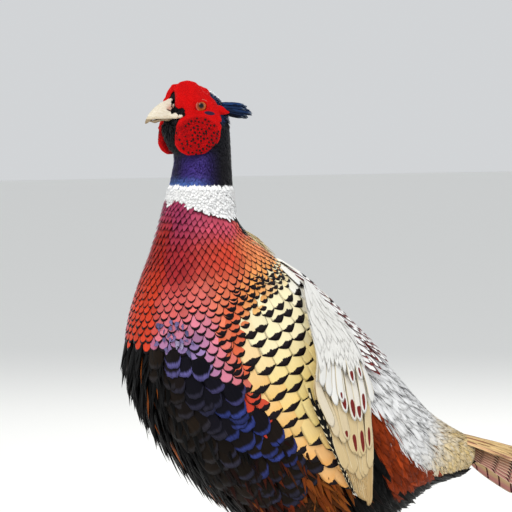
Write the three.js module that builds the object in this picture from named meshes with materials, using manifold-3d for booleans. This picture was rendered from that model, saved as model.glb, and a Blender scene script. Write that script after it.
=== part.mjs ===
// A cock common pheasant, life size, standing upright and alert, in millimetres.
// The bird faces -X, its left side is -Y, +Z is up, and its toes rest on the floor at z = 0.
import * as THREE from "three";
import { mergeVertices } from "three/addons/utils/BufferGeometryUtils.js";
import Module from "manifold-3d";

const wasm = await Module();
wasm.setup();

const gap = 0.3; // clearance between nodes that meet
const skinGap = 0.45; // the same, for a body grown by its half widths
const degree = Math.PI / 180;
const bodySides = 28; // facets round the body
const tailSides = 14;
const ringsPerStation = 2;
const leftSide = -1;
const rightSide = 1;

// The body from the tail coverts up to the bill, as stations along its middle plane.
// Each row: back x, back z, belly x, belly z, half width.
const stations = [
  [226, 192, 225, 186, 4], // tip of the tail coverts
  [202, 199, 200, 181, 12],
  [171, 210, 169, 174, 22], // root of the tail
  [132, 232, 125, 164, 37], // rump
  [101, 261, 86, 143, 55], // loin
  [66, 297, 36, 122, 69], // hips
  [30, 330, -20, 129, 76], // middle of the back
  [0, 355, -79, 161, 79], // belly
  [-26, 373, -127, 204, 78], // shoulders
  [-49, 391, -160, 254, 72], // breast
  [-63, 402, -167, 298, 62], // upper breast
  [-71, 412, -158, 341, 50], // crop
  [-72, 423, -145, 382, 39], // lower edge of the white collar
  [-73, 438, -133, 419, 31], // upper edge of the white collar
  [-74, 457, -126, 447, 26], // middle of the neck
  [-75, 477, -123, 465, 23], // top of the neck
  [-76, 496, -131, 480, 19.5], // throat
  [-84, 513, -134, 487, 17], // nape
  [-98, 522, -136, 491, 15.5], // back of the crown
  [-112, 526.5, -137, 494, 14], // crown
  [-124, 524.5, -137.5, 496, 11.2], // forehead
  [-131, 515, -138, 498, 8], // root of the bill
];
const lastStation = stations.length - 1;
const rumpStart = 3.1; // station where the rump meets the torso
const tailStart = 1.75; // station where the tail meets the rump
const neckStart = 11.6; // station where the neck meets the torso
const headStart = 15.4; // station where the head meets the neck

// Bill: top x, top z, bottom x, bottom z, half width of each ring, from the gape to the tip.
const upperBill = [
  [-128.5, 515.5, -123.5, 499, 8.2],
  [-133, 515, -131, 498.4, 7.2],
  [-140, 512.4, -138, 498.2, 5.9],
  [-147, 507.6, -145, 497.8, 4.6],
  [-151.8, 502.7, -149.8, 497, 3.2],
  [-155, 497.4, -153, 494.8, 1.7],
  [-156.1, 494.3, -155.2, 493.5, 0.6],
];
const lowerBill = [
  [-124.5, 498.6, -127, 493, 7],
  [-132, 498, -133, 492.4, 5.8],
  [-140, 497.7, -140.5, 492.7, 4.4],
  [-146.5, 497.1, -147, 493.3, 3],
  [-151, 496, -151.2, 494, 1.3],
];
const nostril = { x: -135.5, y: 6.2, z: 507, length: 2.4, height: 1.1, depth: 1.6 };

// Each eye, and the rim of the lids round it, at this distance from the middle plane.
const eye = { x: -109, y: 14.6, z: 508.7, radius: 5.2 };
const lids = { y: 18.2, radius: 4.9, thickness: 1.1 };

// Red face skin: swellings by their centre, half length, half depth and half height, and turns in degrees.
const faceSwellings = [
  // Cheek.
  { x: -116, y: 20, z: 484, length: 22, depth: 7, height: 19.5, yaw: 16, pitch: 0, detail: 13 },
  // Brow.
  { x: -119, y: 9, z: 518, length: 15.5, depth: 6.8, height: 13.8, yaw: 13, pitch: 0, detail: 9 },
  // Lore.
  { x: -127, y: 9.8, z: 510.5, length: 8.8, depth: 5.6, height: 7.4, yaw: 22, pitch: 0, detail: 9 },
  // Temple.
  { x: -107, y: 11.8, z: 509.5, length: 20, depth: 7, height: 12.2, yaw: 12, pitch: 36, detail: 10 },
  // Below the eye.
  { x: -107, y: 17, z: 499, length: 16, depth: 6, height: 8, yaw: 14, pitch: 0, detail: 8 },
  // Rear point.
  { x: -90.5, y: 14.5, z: 505.5, length: 12, depth: 3.6, height: 4.4, yaw: 8, pitch: 6, detail: 7 },
];
const bulbs = { count: 12, radius: 1.5, reach: 0.86 };

// Ear tufts: where they grow, the mound they grow from, and their feathers, with angles in degrees.
const earTuft = { x: -92, y: 12, z: 510.5, vanes: 6, length: 33, width: 4.4, drop: 9, spread: 14, flare: 15 };
const earMound = { length: 9, depth: 4.5, height: 6, yaw: 14, pitch: 20 };

// Folded wing, measured along its axis from the shoulder and across it, rearwards.
const wing = {
  shoulder: { x: -36, z: 353 },
  tip: { x: 36, z: 136 },
  length: 228,
  freeSide: 61, // how far out the wing hangs where the body falls away, less at its tip
  tipSide: 47,
  blend: 14,
};
const wingCore = { end: 134, halfWidth: 30, lift: 8, sink: 6 };
// Each tier of wing feathers starts with its foremost one, rooted at along and across. The next is rooted
// a step further along and a spread further across, is shorter, and is turned by the fan in degrees.
// Lift is the tier's height off the body's side.
const primaries = { count: 6, along: 118, step: 1, across: -19, spread: 6, turn: -3, fan: 1 };
const secondaries = { count: 7, along: 84, step: 0, across: -24, spread: 7.7, turn: -3, fan: 0.5 };
const greaterCoverts = { count: 6, along: 64, step: 0, across: -24, spread: 9.4, turn: -3, fan: 1 };
const medianCoverts = { count: 5, along: 32, step: 0, across: -21, spread: 10.5, turn: -5, fan: 2.2 };
const wingTiers = [
  { ...primaries, length: 112, shorter: 9, width: 16, lift: 1.4 },
  { ...secondaries, length: 104, shorter: 5, width: 18, lift: 3.6 },
  { ...greaterCoverts, length: 66, shorter: 0, width: 20, lift: 5.8 },
  { ...medianCoverts, length: 52, shorter: 0, width: 21, lift: 7.6 },
];
const shingle = 1.15; // rise of a wing feather from its shaft to its upper edge

// Tail feathers in pairs, from the long middle pair out to the short outer pair. They lie in layers
// over a common roof, whose ridge runs along the top of the tail.
const tail = {
  root: { x: 179, z: 204 },
  slope: -14.5,
  droop: 22, // further drop at the end of the longest feather
  lengths: [463, 408, 335, 275, 225, 190, 160, 138, 120],
  width: 30,
  widthStep: 0.9,
  shaft: 12.5, // shaft of the second pair, measured round the roof from the ridge
  shaftStep: 3.6,
  roofRadius: 28,
  roofAngle: 64,
  layer: 1.5,
  opening: 70, // the tail widens over this length behind its root
};
const vaneThickness = 0.9;

// Legs: the foot, hock and knee of each side stand at these places.
const leg = {
  spread: 36,
  footX: { left: -13, right: 13 },
  hock: { back: 15, z: 84 },
  knee: { forward: 14, z: 178 },
  footTop: 13,
  thighRadii: [8.2, 10, 16, 23, 25],
  tarsusWidth: 3.6,
  tarsusDepth: 4.4,
  scutes: 8,
  scuteStep: 0.45,
};
const toes = [
  { name: "inner", angle: -38, length: 42, radius: 3.6, claw: 9 },
  { name: "middle", angle: -3, length: 54, radius: 4, claw: 11 },
  { name: "outer", angle: 34, length: 44, radius: 3.5, claw: 9 },
  { name: "hind", angle: 172, length: 19, radius: 3, claw: 7 },
];
const spur = { z: 40, length: 13, radius: 3.2 };

const colours = {
  head: [0x14202e, 0.5],
  neck: [0x1f2a66, 0.4],
  torso: [0x9a4a1e, 0.6],
  rump: [0x8f9184, 0.75],
  wing: [0xc9c4b8, 0.7],
  tail: [0xa87c58, 0.7],
  thigh: [0x5a3a22, 0.85],
  tuft: [0x14203c, 0.5],
  wattle: [0xc4100c, 0.6],
  bill: [0xdcd6bc, 0.35],
  eye: [0x3a1808, 0.1],
  leg: [0x8d8a80, 0.6],
  claw: [0x4a423a, 0.45],
};

// Turns a closed geometry into a solid, whichever way its faces wind.
function solidOf(geometry) {
  const bare = new THREE.BufferGeometry().setAttribute("position", geometry.getAttribute("position"));
  bare.setIndex(geometry.index);
  const merged = mergeVertices(bare, 1e-4);
  const vertProperties = new Float32Array(merged.attributes.position.array);
  const triVerts = new Uint32Array(merged.index.array);
  const made = new wasm.Manifold(new wasm.Mesh({ numProp: 3, vertProperties, triVerts }));
  if (made.volume() >= 0) return made;
  for (let i = 0; i < triVerts.length; i += 3) {
    [triVerts[i + 1], triVerts[i + 2]] = [triVerts[i + 2], triVerts[i + 1]];
  }
  return new wasm.Manifold(new wasm.Mesh({ numProp: 3, vertProperties, triVerts }));
}

// The largest closed surface, so that loose scraps and sealed hollows go.
function largest(solid) {
  return solid.decompose().reduce((best, one) => (one.volume() > best.volume() ? one : best));
}

function fused(solids) {
  return largest(solids.reduce((sum, one) => sum.add(one)));
}

function geometryOf(solid) {
  const mesh = solid.getMesh();
  const geometry = new THREE.BufferGeometry();
  geometry.setAttribute("position", new THREE.BufferAttribute(mesh.vertProperties, 3));
  geometry.setIndex(new THREE.BufferAttribute(mesh.triVerts, 1));
  geometry.computeVertexNormals();
  return geometry;
}

// A closed skin over rings of points, with flat ends.
function loftSolid(rings) {
  const sides = rings[0].length;
  const positions = rings.flat().flatMap((p) => [p.x, p.y, p.z]);
  const index = [];
  for (let r = 0; r < rings.length - 1; r++) {
    for (let k = 0; k < sides; k++) {
      const a = r * sides + k;
      const b = r * sides + ((k + 1) % sides);
      index.push(a, b, b + sides, a, b + sides, a + sides);
    }
  }
  const end = (rings.length - 1) * sides;
  for (let k = 1; k < sides - 1; k++) {
    index.push(0, k + 1, k, end, end + k, end + k + 1);
  }
  const geometry = new THREE.BufferGeometry();
  geometry.setAttribute("position", new THREE.Float32BufferAttribute(positions, 3));
  geometry.setIndex(index);
  return solidOf(geometry);
}

// A thin blade: place(along, across, face) gives each point, with across from -1 to 1 and face 0 or 1.
// Both faces are split into triangles alike.
function vaneSolid(lengthwise, crosswise, place) {
  const positions = [];
  const index = [];
  const row = crosswise + 1;
  const layer = (lengthwise + 1) * row;
  for (const face of [0, 1]) {
    for (let i = 0; i <= lengthwise; i++) {
      for (let j = 0; j <= crosswise; j++) {
        const p = place(i / lengthwise, (2 * j) / crosswise - 1, face);
        positions.push(p.x, p.y, p.z);
      }
    }
  }
  const at = (i, j, face) => face * layer + i * row + j;
  const quad = (a, b, c, d) => index.push(a, b, c, a, c, d);
  for (let i = 0; i < lengthwise; i++) {
    for (let j = 0; j < crosswise; j++) {
      quad(at(i, j, 1), at(i + 1, j, 1), at(i + 1, j + 1, 1), at(i, j + 1, 1));
      index.push(at(i, j, 0), at(i + 1, j + 1, 0), at(i + 1, j, 0));
      index.push(at(i, j, 0), at(i, j + 1, 0), at(i + 1, j + 1, 0));
    }
    quad(at(i, 0, 0), at(i + 1, 0, 0), at(i + 1, 0, 1), at(i, 0, 1));
    quad(at(i, crosswise, 1), at(i + 1, crosswise, 1), at(i + 1, crosswise, 0), at(i, crosswise, 0));
  }
  for (let j = 0; j < crosswise; j++) {
    quad(at(0, j, 0), at(0, j, 1), at(0, j + 1, 1), at(0, j + 1, 0));
    quad(at(lengthwise, j, 1), at(lengthwise, j, 0), at(lengthwise, j + 1, 0), at(lengthwise, j + 1, 1));
  }
  const geometry = new THREE.BufferGeometry();
  geometry.setAttribute("position", new THREE.Float32BufferAttribute(positions, 3));
  geometry.setIndex(index);
  return solidOf(geometry);
}

function ellipsoid(centre, radii, yaw = 0, pitch = 0, detail = 12) {
  const geometry = new THREE.SphereGeometry(1, detail, Math.round(detail * 0.65));
  geometry.deleteAttribute("normal");
  geometry.deleteAttribute("uv");
  geometry.scale(radii.x, radii.z, radii.y);
  geometry.rotateX(Math.PI / 2);
  geometry.rotateY(pitch * degree);
  geometry.rotateZ(yaw * degree);
  geometry.translate(centre.x, centre.y, centre.z);
  return solidOf(geometry);
}

// Rings across a path, wide by half widths and deep by half depths, upright against the side vector.
function limbSolid(points, widths, depths, sides, side) {
  const curve = new THREE.CatmullRomCurve3(points);
  const rings = widths.map((width, i) => {
    const t = i / (widths.length - 1);
    const centre = curve.getPoint(t);
    const tangent = curve.getTangent(t);
    const deep = new THREE.Vector3().crossVectors(tangent, side).normalize();
    const wide = new THREE.Vector3().crossVectors(deep, tangent).normalize();
    return ringOf(sides, (c, s) =>
      centre.clone().addScaledVector(wide, width * c).addScaledVector(deep, depths[i] * s),
    );
  });
  return loftSolid(rings);
}

function ringOf(sides, place) {
  return Array.from({ length: sides }, (_, k) => {
    const angle = (2 * Math.PI * k) / sides;
    return place(Math.cos(angle), Math.sin(angle));
  });
}

// Body: three smooth curves through the stations give the back, the belly and the half width.
function stationCurve(place) {
  return new THREE.CatmullRomCurve3(stations.map(place), false, "catmullrom");
}

const backCurve = stationCurve((s) => new THREE.Vector3(s[0], 0, s[1]));
const bellyCurve = stationCurve((s) => new THREE.Vector3(s[2], 0, s[3]));
const widthCurve = stationCurve((s) => new THREE.Vector3(s[4], 0, 0));

function section(station) {
  const t = station / lastStation;
  const back = backCurve.getPoint(t);
  const belly = bellyCurve.getPoint(t);
  const centre = back.clone().add(belly).multiplyScalar(0.5);
  const up = back.clone().sub(belly).multiplyScalar(0.5);
  return { centre, up, width: widthCurve.getPoint(t).x };
}

function bodySolid(grow = 0, sides = bodySides) {
  const count = lastStation * ringsPerStation;
  const rings = Array.from({ length: count + 1 }, (_, r) => {
    const { centre, up, width } = section(r / ringsPerStation);
    const height = up.length() + grow;
    const upward = up.clone().normalize();
    return ringOf(sides, (c, s) =>
      centre.clone().addScaledVector(upward, height * c).add(new THREE.Vector3(0, (width + grow) * s, 0)),
    );
  });
  return loftSolid(rings);
}

// Half width of the body at a point of its side view, between two stations.
function sideOf(x, z, from, to) {
  const ahead = (station) => {
    const { centre, up } = section(station);
    return up.x * (z - centre.z) - up.z * (x - centre.x) > 0;
  };
  let low = from;
  let high = to;
  for (let i = 0; i < 24; i++) {
    const middle = (low + high) / 2;
    if (ahead(middle)) low = middle;
    else high = middle;
  }
  const { centre, up, width } = section((low + high) / 2);
  const share = (up.x * (x - centre.x) + up.z * (z - centre.z)) / up.lengthSq();
  return width * Math.sqrt(Math.max(0, 1 - share * share));
}

// Keeps the part of a solid ahead of a station's plane, towards the bill, or behind it.
function cutAt(solid, station, keepAhead) {
  const { centre, up } = section(station);
  const forward = new THREE.Vector3(-up.z, 0, up.x).normalize();
  if (!keepAhead) forward.negate();
  return solid.trimByPlane([forward.x, 0, forward.z], forward.dot(centre) + gap / 2);
}

// Bill: arched above and flat below for the upper half, and the other way up for the lower.
function billSolid(rows, downwards, grow = 0) {
  const arc = 8;
  const rings = rows.map(([topX, topZ, bottomX, bottomZ, halfWidth]) => {
    const top = new THREE.Vector3(topX, 0, topZ);
    const bottom = new THREE.Vector3(bottomX, 0, bottomZ);
    const outward = downwards ? bottom.clone().sub(top) : top.clone().sub(bottom);
    const flat = downwards ? top : bottom;
    const height = outward.length();
    outward.normalize();
    return Array.from({ length: arc + 1 }, (_, k) => {
      const angle = (Math.PI * k) / arc;
      const rise = Math.sin(angle) ** 0.85 * (height + 2 * grow) - grow;
      const side = new THREE.Vector3(0, Math.cos(angle) * (halfWidth + grow), 0);
      return flat.clone().addScaledVector(outward, rise).add(side);
    });
  });
  return loftSolid(rings);
}

function eyeSolid(side, grow = 0) {
  const radius = eye.radius + grow;
  const centre = new THREE.Vector3(eye.x, side * eye.y, eye.z);
  return ellipsoid(centre, { x: radius, y: radius, z: radius }, 0, 0, 14);
}

function faceSwelling(part, side, grow = 0) {
  const centre = new THREE.Vector3(part.x, side * part.y, part.z);
  const radii = { x: part.length + grow, y: part.depth + grow, z: part.height + grow };
  return ellipsoid(centre, radii, side * part.yaw, part.pitch, part.detail);
}

// Bulbs in a sunflower spiral over the cheek.
function cheekBulbs(side) {
  const cheek = faceSwellings[0];
  return Array.from({ length: bulbs.count }, (_, k) => {
    const radius = bulbs.reach * Math.sqrt((k + 0.5) / bulbs.count);
    const angle = k * 137.5 * degree;
    const along = radius * Math.cos(angle);
    const up = radius * Math.sin(angle);
    const rise = Math.sqrt(1 - radius * radius) * cheek.depth;
    const point = new THREE.Vector3(along * cheek.length, side * rise, up * cheek.height);
    point.applyAxisAngle(new THREE.Vector3(0, 0, 1), side * cheek.yaw * degree);
    const geometry = new THREE.IcosahedronGeometry(bulbs.radius * (1 + 0.2 * Math.sin(k * 2.4)), 0);
    geometry.rotateZ(k);
    geometry.translate(cheek.x + point.x, side * cheek.y + point.y, cheek.z + point.z);
    return solidOf(geometry);
  });
}

function lidSolid(side) {
  const geometry = new THREE.TorusGeometry(lids.radius, lids.thickness, 5, 14);
  geometry.rotateX(Math.PI / 2);
  geometry.rotateZ(side * faceSwellings[2].yaw * degree);
  geometry.translate(eye.x, side * lids.y, eye.z);
  return solidOf(geometry);
}

function wattleSolid(side, body) {
  const swellings = faceSwellings.map((part) => faceSwelling(part, side));
  return largest(
    fused([...swellings, ...cheekBulbs(side), lidSolid(side)])
      .subtract(body)
      .subtract(eyeSolid(side, gap))
      .subtract(billSolid(upperBill, false, gap))
      .subtract(billSolid(lowerBill, true, gap)),
  );
}

// Ear tuft: blunt feathers side by side, rooted in a small mound behind the eye.
function earTuftSolid(side, body) {
  const root = new THREE.Vector3(earTuft.x, side * earTuft.y, earTuft.z);
  const moundSize = { x: earMound.length, y: earMound.depth, z: earMound.height };
  const mound = ellipsoid(root, moundSize, side * earMound.yaw, earMound.pitch, 10);
  const vanes = Array.from({ length: earTuft.vanes }, (_, k) => {
    const share = k / (earTuft.vanes - 1) - 0.5;
    const slope = -(earTuft.drop + share * earTuft.spread) * degree;
    const length = earTuft.length * (1 - 0.6 * share * share);
    return vaneSolid(2, 1, (along, across, face) => {
      const reach = along * length;
      const half = (earTuft.width / 2) * (0.8 + 0.2 * Math.sin(Math.PI * along));
      return new THREE.Vector3(
        root.x + reach * Math.cos(slope) - across * half * Math.sin(slope),
        root.y + side * (reach * Math.sin(earTuft.flare * degree) + share * 3 + face * 1.1),
        root.z - share * 5 + reach * Math.sin(slope) + across * half * Math.cos(slope),
      );
    });
  });
  const skin = faceSwellings.map((part) => faceSwelling(part, side, skinGap));
  return largest(skin.reduce((tuft, part) => tuft.subtract(part), fused([mound, ...vanes]).subtract(body)));
}

// Wing: points are given along and across the folded wing and lifted off the body's side.
const wingLine = new THREE.Vector2(wing.tip.x - wing.shoulder.x, wing.tip.z - wing.shoulder.z).normalize();

function wingPoint(side, along, across, lift) {
  const x = wing.shoulder.x + along * wingLine.x - across * wingLine.y;
  const z = wing.shoulder.z + along * wingLine.y + across * wingLine.x;
  const bodySide = sideOf(x, z, 2, neckStart);
  const free = wing.freeSide - (wing.freeSide - wing.tipSide) * Math.max(0, along / wing.length) ** 2;
  const apart = bodySide - free;
  const out = (bodySide + free + Math.sqrt(apart * apart + wing.blend ** 2)) / 2;
  return new THREE.Vector3(x, side * (out + lift), z);
}

function wingVane(side, tier, k) {
  const turn = (tier.turn + k * tier.fan) * degree;
  const length = tier.length - k * tier.shorter;
  const rootAlong = tier.along + k * tier.step;
  const rootAcross = tier.across + k * tier.spread;
  return vaneSolid(3, 1, (along, across, face) => {
    const reach = along * length;
    const shape = Math.sqrt(Math.max(0.06, 1 - along ** 5)) * (0.8 + 0.2 * Math.sin(Math.PI * along));
    const aside = (across * tier.width * shape) / 2;
    const lift = tier.lift - shingle * across * shape - 0.7 * along + face * vaneThickness;
    return wingPoint(
      side,
      rootAlong + reach * Math.cos(turn) - aside * Math.sin(turn),
      rootAcross + reach * Math.sin(turn) + aside * Math.cos(turn),
      lift,
    );
  });
}

function wingSolid(side, body) {
  const core = vaneSolid(7, 4, (along, across, face) => {
    const half = wingCore.halfWidth * Math.sin(Math.PI * (0.14 + 0.66 * along ** 0.8)) ** 0.8;
    const crosswise = Math.sqrt(1 - (0.75 * across) ** 2);
    const crown = wingCore.lift * crosswise * Math.sqrt(Math.sin(Math.PI * (0.08 + 0.84 * along)));
    const point = wingPoint(side, along * wingCore.end, across * half, crown * face);
    if (!face) point.y -= side * wingCore.sink;
    return point;
  });
  const tierVanes = (tier) => Array.from({ length: tier.count }, (_, k) => wingVane(side, tier, k));
  const vanes = wingTiers.flatMap(tierVanes);
  return largest(fused([core, ...vanes]).subtract(body));
}

// Tail: a point at a distance behind the root, at an arc length round the roof, and down some layers.
function tailPoint(side, reach, arc, depth) {
  const limit = tail.roofAngle * degree;
  const angle = Math.min(arc / tail.roofRadius, limit);
  const rest = arc - angle * tail.roofRadius;
  const radius = tail.roofRadius - depth;
  const out = radius * Math.sin(angle) + rest * Math.cos(angle);
  const down = tail.roofRadius - radius * Math.cos(angle) + rest * Math.sin(angle);
  const fall = tail.droop * (reach / tail.lengths[0]) ** 2;
  const slope = tail.slope * degree;
  return new THREE.Vector3(
    tail.root.x + reach * Math.cos(slope) + down * Math.sin(slope),
    side * out,
    tail.root.z + reach * Math.sin(slope) - down * Math.cos(slope) - fall,
  );
}

function tailVane(side, pair) {
  const length = tail.lengths[pair];
  const width = tail.width - pair * tail.widthStep;
  const middle = pair === 0;
  const shaft = middle ? 0 : tail.shaft + (pair - 1) * tail.shaftStep;
  const layer = middle ? (side === leftSide ? 0 : 1) : pair + 1;
  return vaneSolid(pair < 3 ? 6 : 3, 2, (along, across, face) => {
    const reach = along * length;
    const open = 0.3 + 0.7 * Math.sqrt(Math.min(1, reach / tail.opening));
    const taper = 1 - 0.7 * Math.max(0, (reach - tail.opening) / (length - tail.opening + 1)) ** 1.3;
    const tip = Math.sqrt(Math.max(0.02, 1 - along ** 8));
    const aside = (across * width * open * taper * tip) / 2;
    const inner = Math.max(shaft * open + aside, middle ? -width : gap / 2);
    const depth = layer * tail.layer + (1 - face) * vaneThickness;
    return inner < 0 ? tailPoint(-side, reach, -inner, depth) : tailPoint(side, reach, inner, depth);
  });
}

function tailSolid() {
  const core = largest(cutAt(bodySolid(0, tailSides), tailStart, false));
  const vanes = tail.lengths.flatMap((_, pair) => [tailVane(leftSide, pair), tailVane(rightSide, pair)]);
  return largest(cutAt(fused([core, ...vanes]), tailStart, false));
}

// Legs: a feathered thigh, a scaly tarsus with its spur, and a foot of four toes.
function legPlaces(side) {
  const footX = side === leftSide ? leg.footX.left : leg.footX.right;
  return {
    foot: new THREE.Vector3(footX, side * leg.spread, 0),
    hock: new THREE.Vector3(footX + leg.hock.back, side * (leg.spread - 1), leg.hock.z),
    knee: new THREE.Vector3(footX - leg.knee.forward, side * (leg.spread - 3), leg.knee.z),
  };
}

function thighSolid(side, body) {
  const { hock, knee } = legPlaces(side);
  const widths = leg.thighRadii;
  const middle = hock.clone().lerp(knee, 0.5).add(new THREE.Vector3(3, 0, 0));
  const start = hock.clone().add(new THREE.Vector3(1.5, 0, -6));
  const depths = widths.map((r) => r * 1.12);
  const solid = limbSolid([start, middle, knee], widths, depths, 16, new THREE.Vector3(0, 1, 0));
  return largest(solid.trimByPlane([0, 0, 1], hock.z + gap / 2).subtract(body));
}

function tarsusSolid(side) {
  const { foot, hock } = legPlaces(side);
  const from = foot.clone().setZ(leg.footTop - 2);
  const to = hock.clone().setZ(hock.z + 2);
  const rings = [];
  for (let k = 0; k <= leg.scutes; k++) {
    for (const edge of k === leg.scutes ? [0] : [0, 0.9]) {
      const share = (k + edge) / leg.scutes;
      const centre = from.clone().lerp(to, share);
      const ends = 1 + 0.5 * (2 * share - 1) ** 6 + 0.12 * share;
      const proud = edge ? leg.scuteStep : 0;
      rings.push(
        ringOf(8, (c, s) => {
          const front = c < -0.3 ? proud : 0;
          return new THREE.Vector3(
            centre.x + c * (leg.tarsusDepth * ends + front),
            centre.y + s * leg.tarsusWidth * ends,
            centre.z,
          );
        }),
      );
    }
  }
  return loftSolid(rings)
    .trimByPlane([0, 0, 1], leg.footTop + gap / 2)
    .trimByPlane([0, 0, -1], -(hock.z - gap / 2));
}

// A spur on the back of the tarsus, curving up to its point.
function spurSolid(side, tarsus) {
  const { foot, hock } = legPlaces(side);
  const share = spur.z / hock.z;
  const start = foot.clone().lerp(hock, share).setZ(spur.z);
  const inward = -side * 2.5;
  const points = [
    start,
    start.clone().add(new THREE.Vector3(7.5, inward, 0.5)),
    start.clone().add(new THREE.Vector3(4 + spur.length, inward * 2, 5)),
  ];
  const radii = [spur.radius, spur.radius * 0.8, spur.radius * 0.5, 0.5];
  return largest(limbSolid(points, radii, radii, 8, new THREE.Vector3(0, 1, 0)).subtract(tarsus));
}

function toeDirection(side, toe) {
  const angle = Math.PI + side * toe.angle * degree;
  return new THREE.Vector3(Math.cos(angle), Math.sin(angle), 0);
}

function toeSolid(side, toe) {
  const { foot } = legPlaces(side);
  const ahead = toeDirection(side, toe);
  const heel = toe.name === "hind" ? 2.6 : 0;
  const height = [1.35, 1, 0.82, 0.74].map((share) => toe.radius * share + heel * 0.4);
  const points = [0, 0.35, 0.7, 1].map((share, k) =>
    foot.clone().addScaledVector(ahead, share * toe.length).setZ(height[k]),
  );
  const radii = [1.12, 0.92, 1, 0.82, 0.66].map((share) => share * toe.radius);
  return limbSolid(points, radii, radii, 8, new THREE.Vector3(-ahead.y, ahead.x, 0));
}

function footSolid(side) {
  const { foot, hock } = legPlaces(side);
  const middle = foot.clone().lerp(hock, 0.08).setZ(8);
  const top = foot.clone().lerp(hock, 0.16).setZ(leg.footTop + 2);
  const widths = [6.4, 5.6, 5.2];
  const depths = [6.8, 6, 5.4];
  const path = [foot.clone().setZ(2.5), middle, top];
  const ankle = limbSolid(path, widths, depths, 10, new THREE.Vector3(0, 1, 0));
  return fused([ankle, ...toes.map((toe) => toeSolid(side, toe))])
    .trimByPlane([0, 0, 1], 0)
    .trimByPlane([0, 0, -1], -(leg.footTop - gap / 2));
}

// A claw curving down from the toe's end to just above the floor.
function clawSolid(side, toe) {
  const { foot } = legPlaces(side);
  const ahead = toeDirection(side, toe);
  const heel = toe.name === "hind" ? 1 : 0;
  const level = toe.radius * 0.74 + heel;
  const points = [
    foot.clone().addScaledVector(ahead, toe.length + gap).setZ(level),
    foot.clone().addScaledVector(ahead, toe.length + gap + toe.claw * 0.55).setZ(level + 0.7),
    foot.clone().addScaledVector(ahead, toe.length + gap + toe.claw).setZ(1 + heel * 0.5),
  ];
  const radii = [0.56, 0.46, 0.3, 0.12].map((share) => share * toe.radius);
  return limbSolid(points, radii, radii.map((r) => r * 1.15), 8, new THREE.Vector3(-ahead.y, ahead.x, 0))
    .subtract(footEnd(foot, ahead, toe));
}

// A block that ends at the toe's end, so that a claw keeps its gap.
function footEnd(foot, ahead, toe) {
  const geometry = new THREE.BoxGeometry(20, 20, 20);
  geometry.rotateZ(Math.atan2(ahead.y, ahead.x));
  const back = foot.clone().addScaledVector(ahead, toe.length + gap - 10);
  geometry.translate(back.x, back.y, 5);
  geometry.deleteAttribute("normal");
  geometry.deleteAttribute("uv");
  return solidOf(geometry);
}

const bird = new THREE.Group();

function addNode(name, solid, [color, roughness]) {
  const material = new THREE.MeshStandardMaterial({ color, roughness, metalness: 0 });
  const mesh = new THREE.Mesh(geometryOf(solid), material);
  mesh.name = name;
  bird.add(mesh);
}

const whole = bodySolid();
const grown = bodySolid(skinGap);

addNode("rump", cutAt(cutAt(whole, tailStart, true), rumpStart, false), colours.rump);
addNode("torso", cutAt(cutAt(whole, rumpStart, true), neckStart, false), colours.torso);
addNode("neck", cutAt(cutAt(whole, neckStart, true), headStart, false), colours.neck);

const upper = billSolid(upperBill, false);
const lower = billSolid(lowerBill, true);
let head = cutAt(whole, headStart, true)
  .subtract(billSolid(upperBill, false, gap))
  .subtract(billSolid(lowerBill, true, gap));
let upperCut = upper;
for (const side of [leftSide, rightSide]) {
  head = head.subtract(eyeSolid(side, gap));
  const hole = new THREE.Vector3(nostril.x, side * nostril.y, nostril.z);
  const size = { x: nostril.length, y: nostril.depth, z: nostril.height };
  upperCut = upperCut.subtract(ellipsoid(hole, size, side * 8, 20, 8));
}
addNode("head", largest(head), colours.head);
addNode("bill_upper", largest(upperCut), colours.bill);
addNode("bill_lower", lower, colours.bill);
addNode("tail", tailSolid(), colours.tail);

for (const [side, name] of [[leftSide, "left"], [rightSide, "right"]]) {
  addNode(`eye_${name}`, eyeSolid(side), colours.eye);
  addNode(`wattle_${name}`, wattleSolid(side, grown), colours.wattle);
  addNode(`ear_tuft_${name}`, earTuftSolid(side, grown), colours.tuft);
  addNode(`wing_${name}`, wingSolid(side, grown), colours.wing);
  addNode(`thigh_${name}`, thighSolid(side, grown), colours.thigh);
  const tarsus = tarsusSolid(side);
  addNode(`tarsus_${name}`, tarsus, colours.leg);
  addNode(`foot_${name}`, footSolid(side), colours.leg);
  addNode(`spur_${name}`, spurSolid(side, tarsus), colours.claw);
  for (const toe of toes) addNode(`claw_${toe.name}_${name}`, clawSolid(side, toe), colours.claw);
}

// The origin stands on the floor under the middle of the bird's box.
const extent = new THREE.Box3().setFromObject(bird);
bird.position.set(-(extent.min.x + extent.max.x) / 2, 0, 0);

export default bird;
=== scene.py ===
import math

import bmesh
import bpy
import numpy as np
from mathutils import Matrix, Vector
from mathutils.bvhtree import BVHTree
from mathutils.kdtree import KDTree


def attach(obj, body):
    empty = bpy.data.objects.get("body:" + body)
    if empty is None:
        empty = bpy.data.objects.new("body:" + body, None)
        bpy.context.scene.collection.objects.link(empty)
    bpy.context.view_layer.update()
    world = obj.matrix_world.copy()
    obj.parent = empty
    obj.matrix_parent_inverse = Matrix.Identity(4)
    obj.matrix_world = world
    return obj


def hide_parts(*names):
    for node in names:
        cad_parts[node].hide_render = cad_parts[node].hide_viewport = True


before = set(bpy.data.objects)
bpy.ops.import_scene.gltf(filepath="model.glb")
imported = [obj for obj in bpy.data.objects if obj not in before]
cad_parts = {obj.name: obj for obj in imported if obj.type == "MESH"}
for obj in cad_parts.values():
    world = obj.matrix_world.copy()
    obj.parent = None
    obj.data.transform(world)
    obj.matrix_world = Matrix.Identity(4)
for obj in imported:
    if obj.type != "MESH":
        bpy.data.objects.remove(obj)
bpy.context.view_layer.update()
mm = 0.001
cadShift = -0.2301      # metres from the feet's own zero to the frame's


def sayStage(words):
    print("stage:", words)


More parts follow.
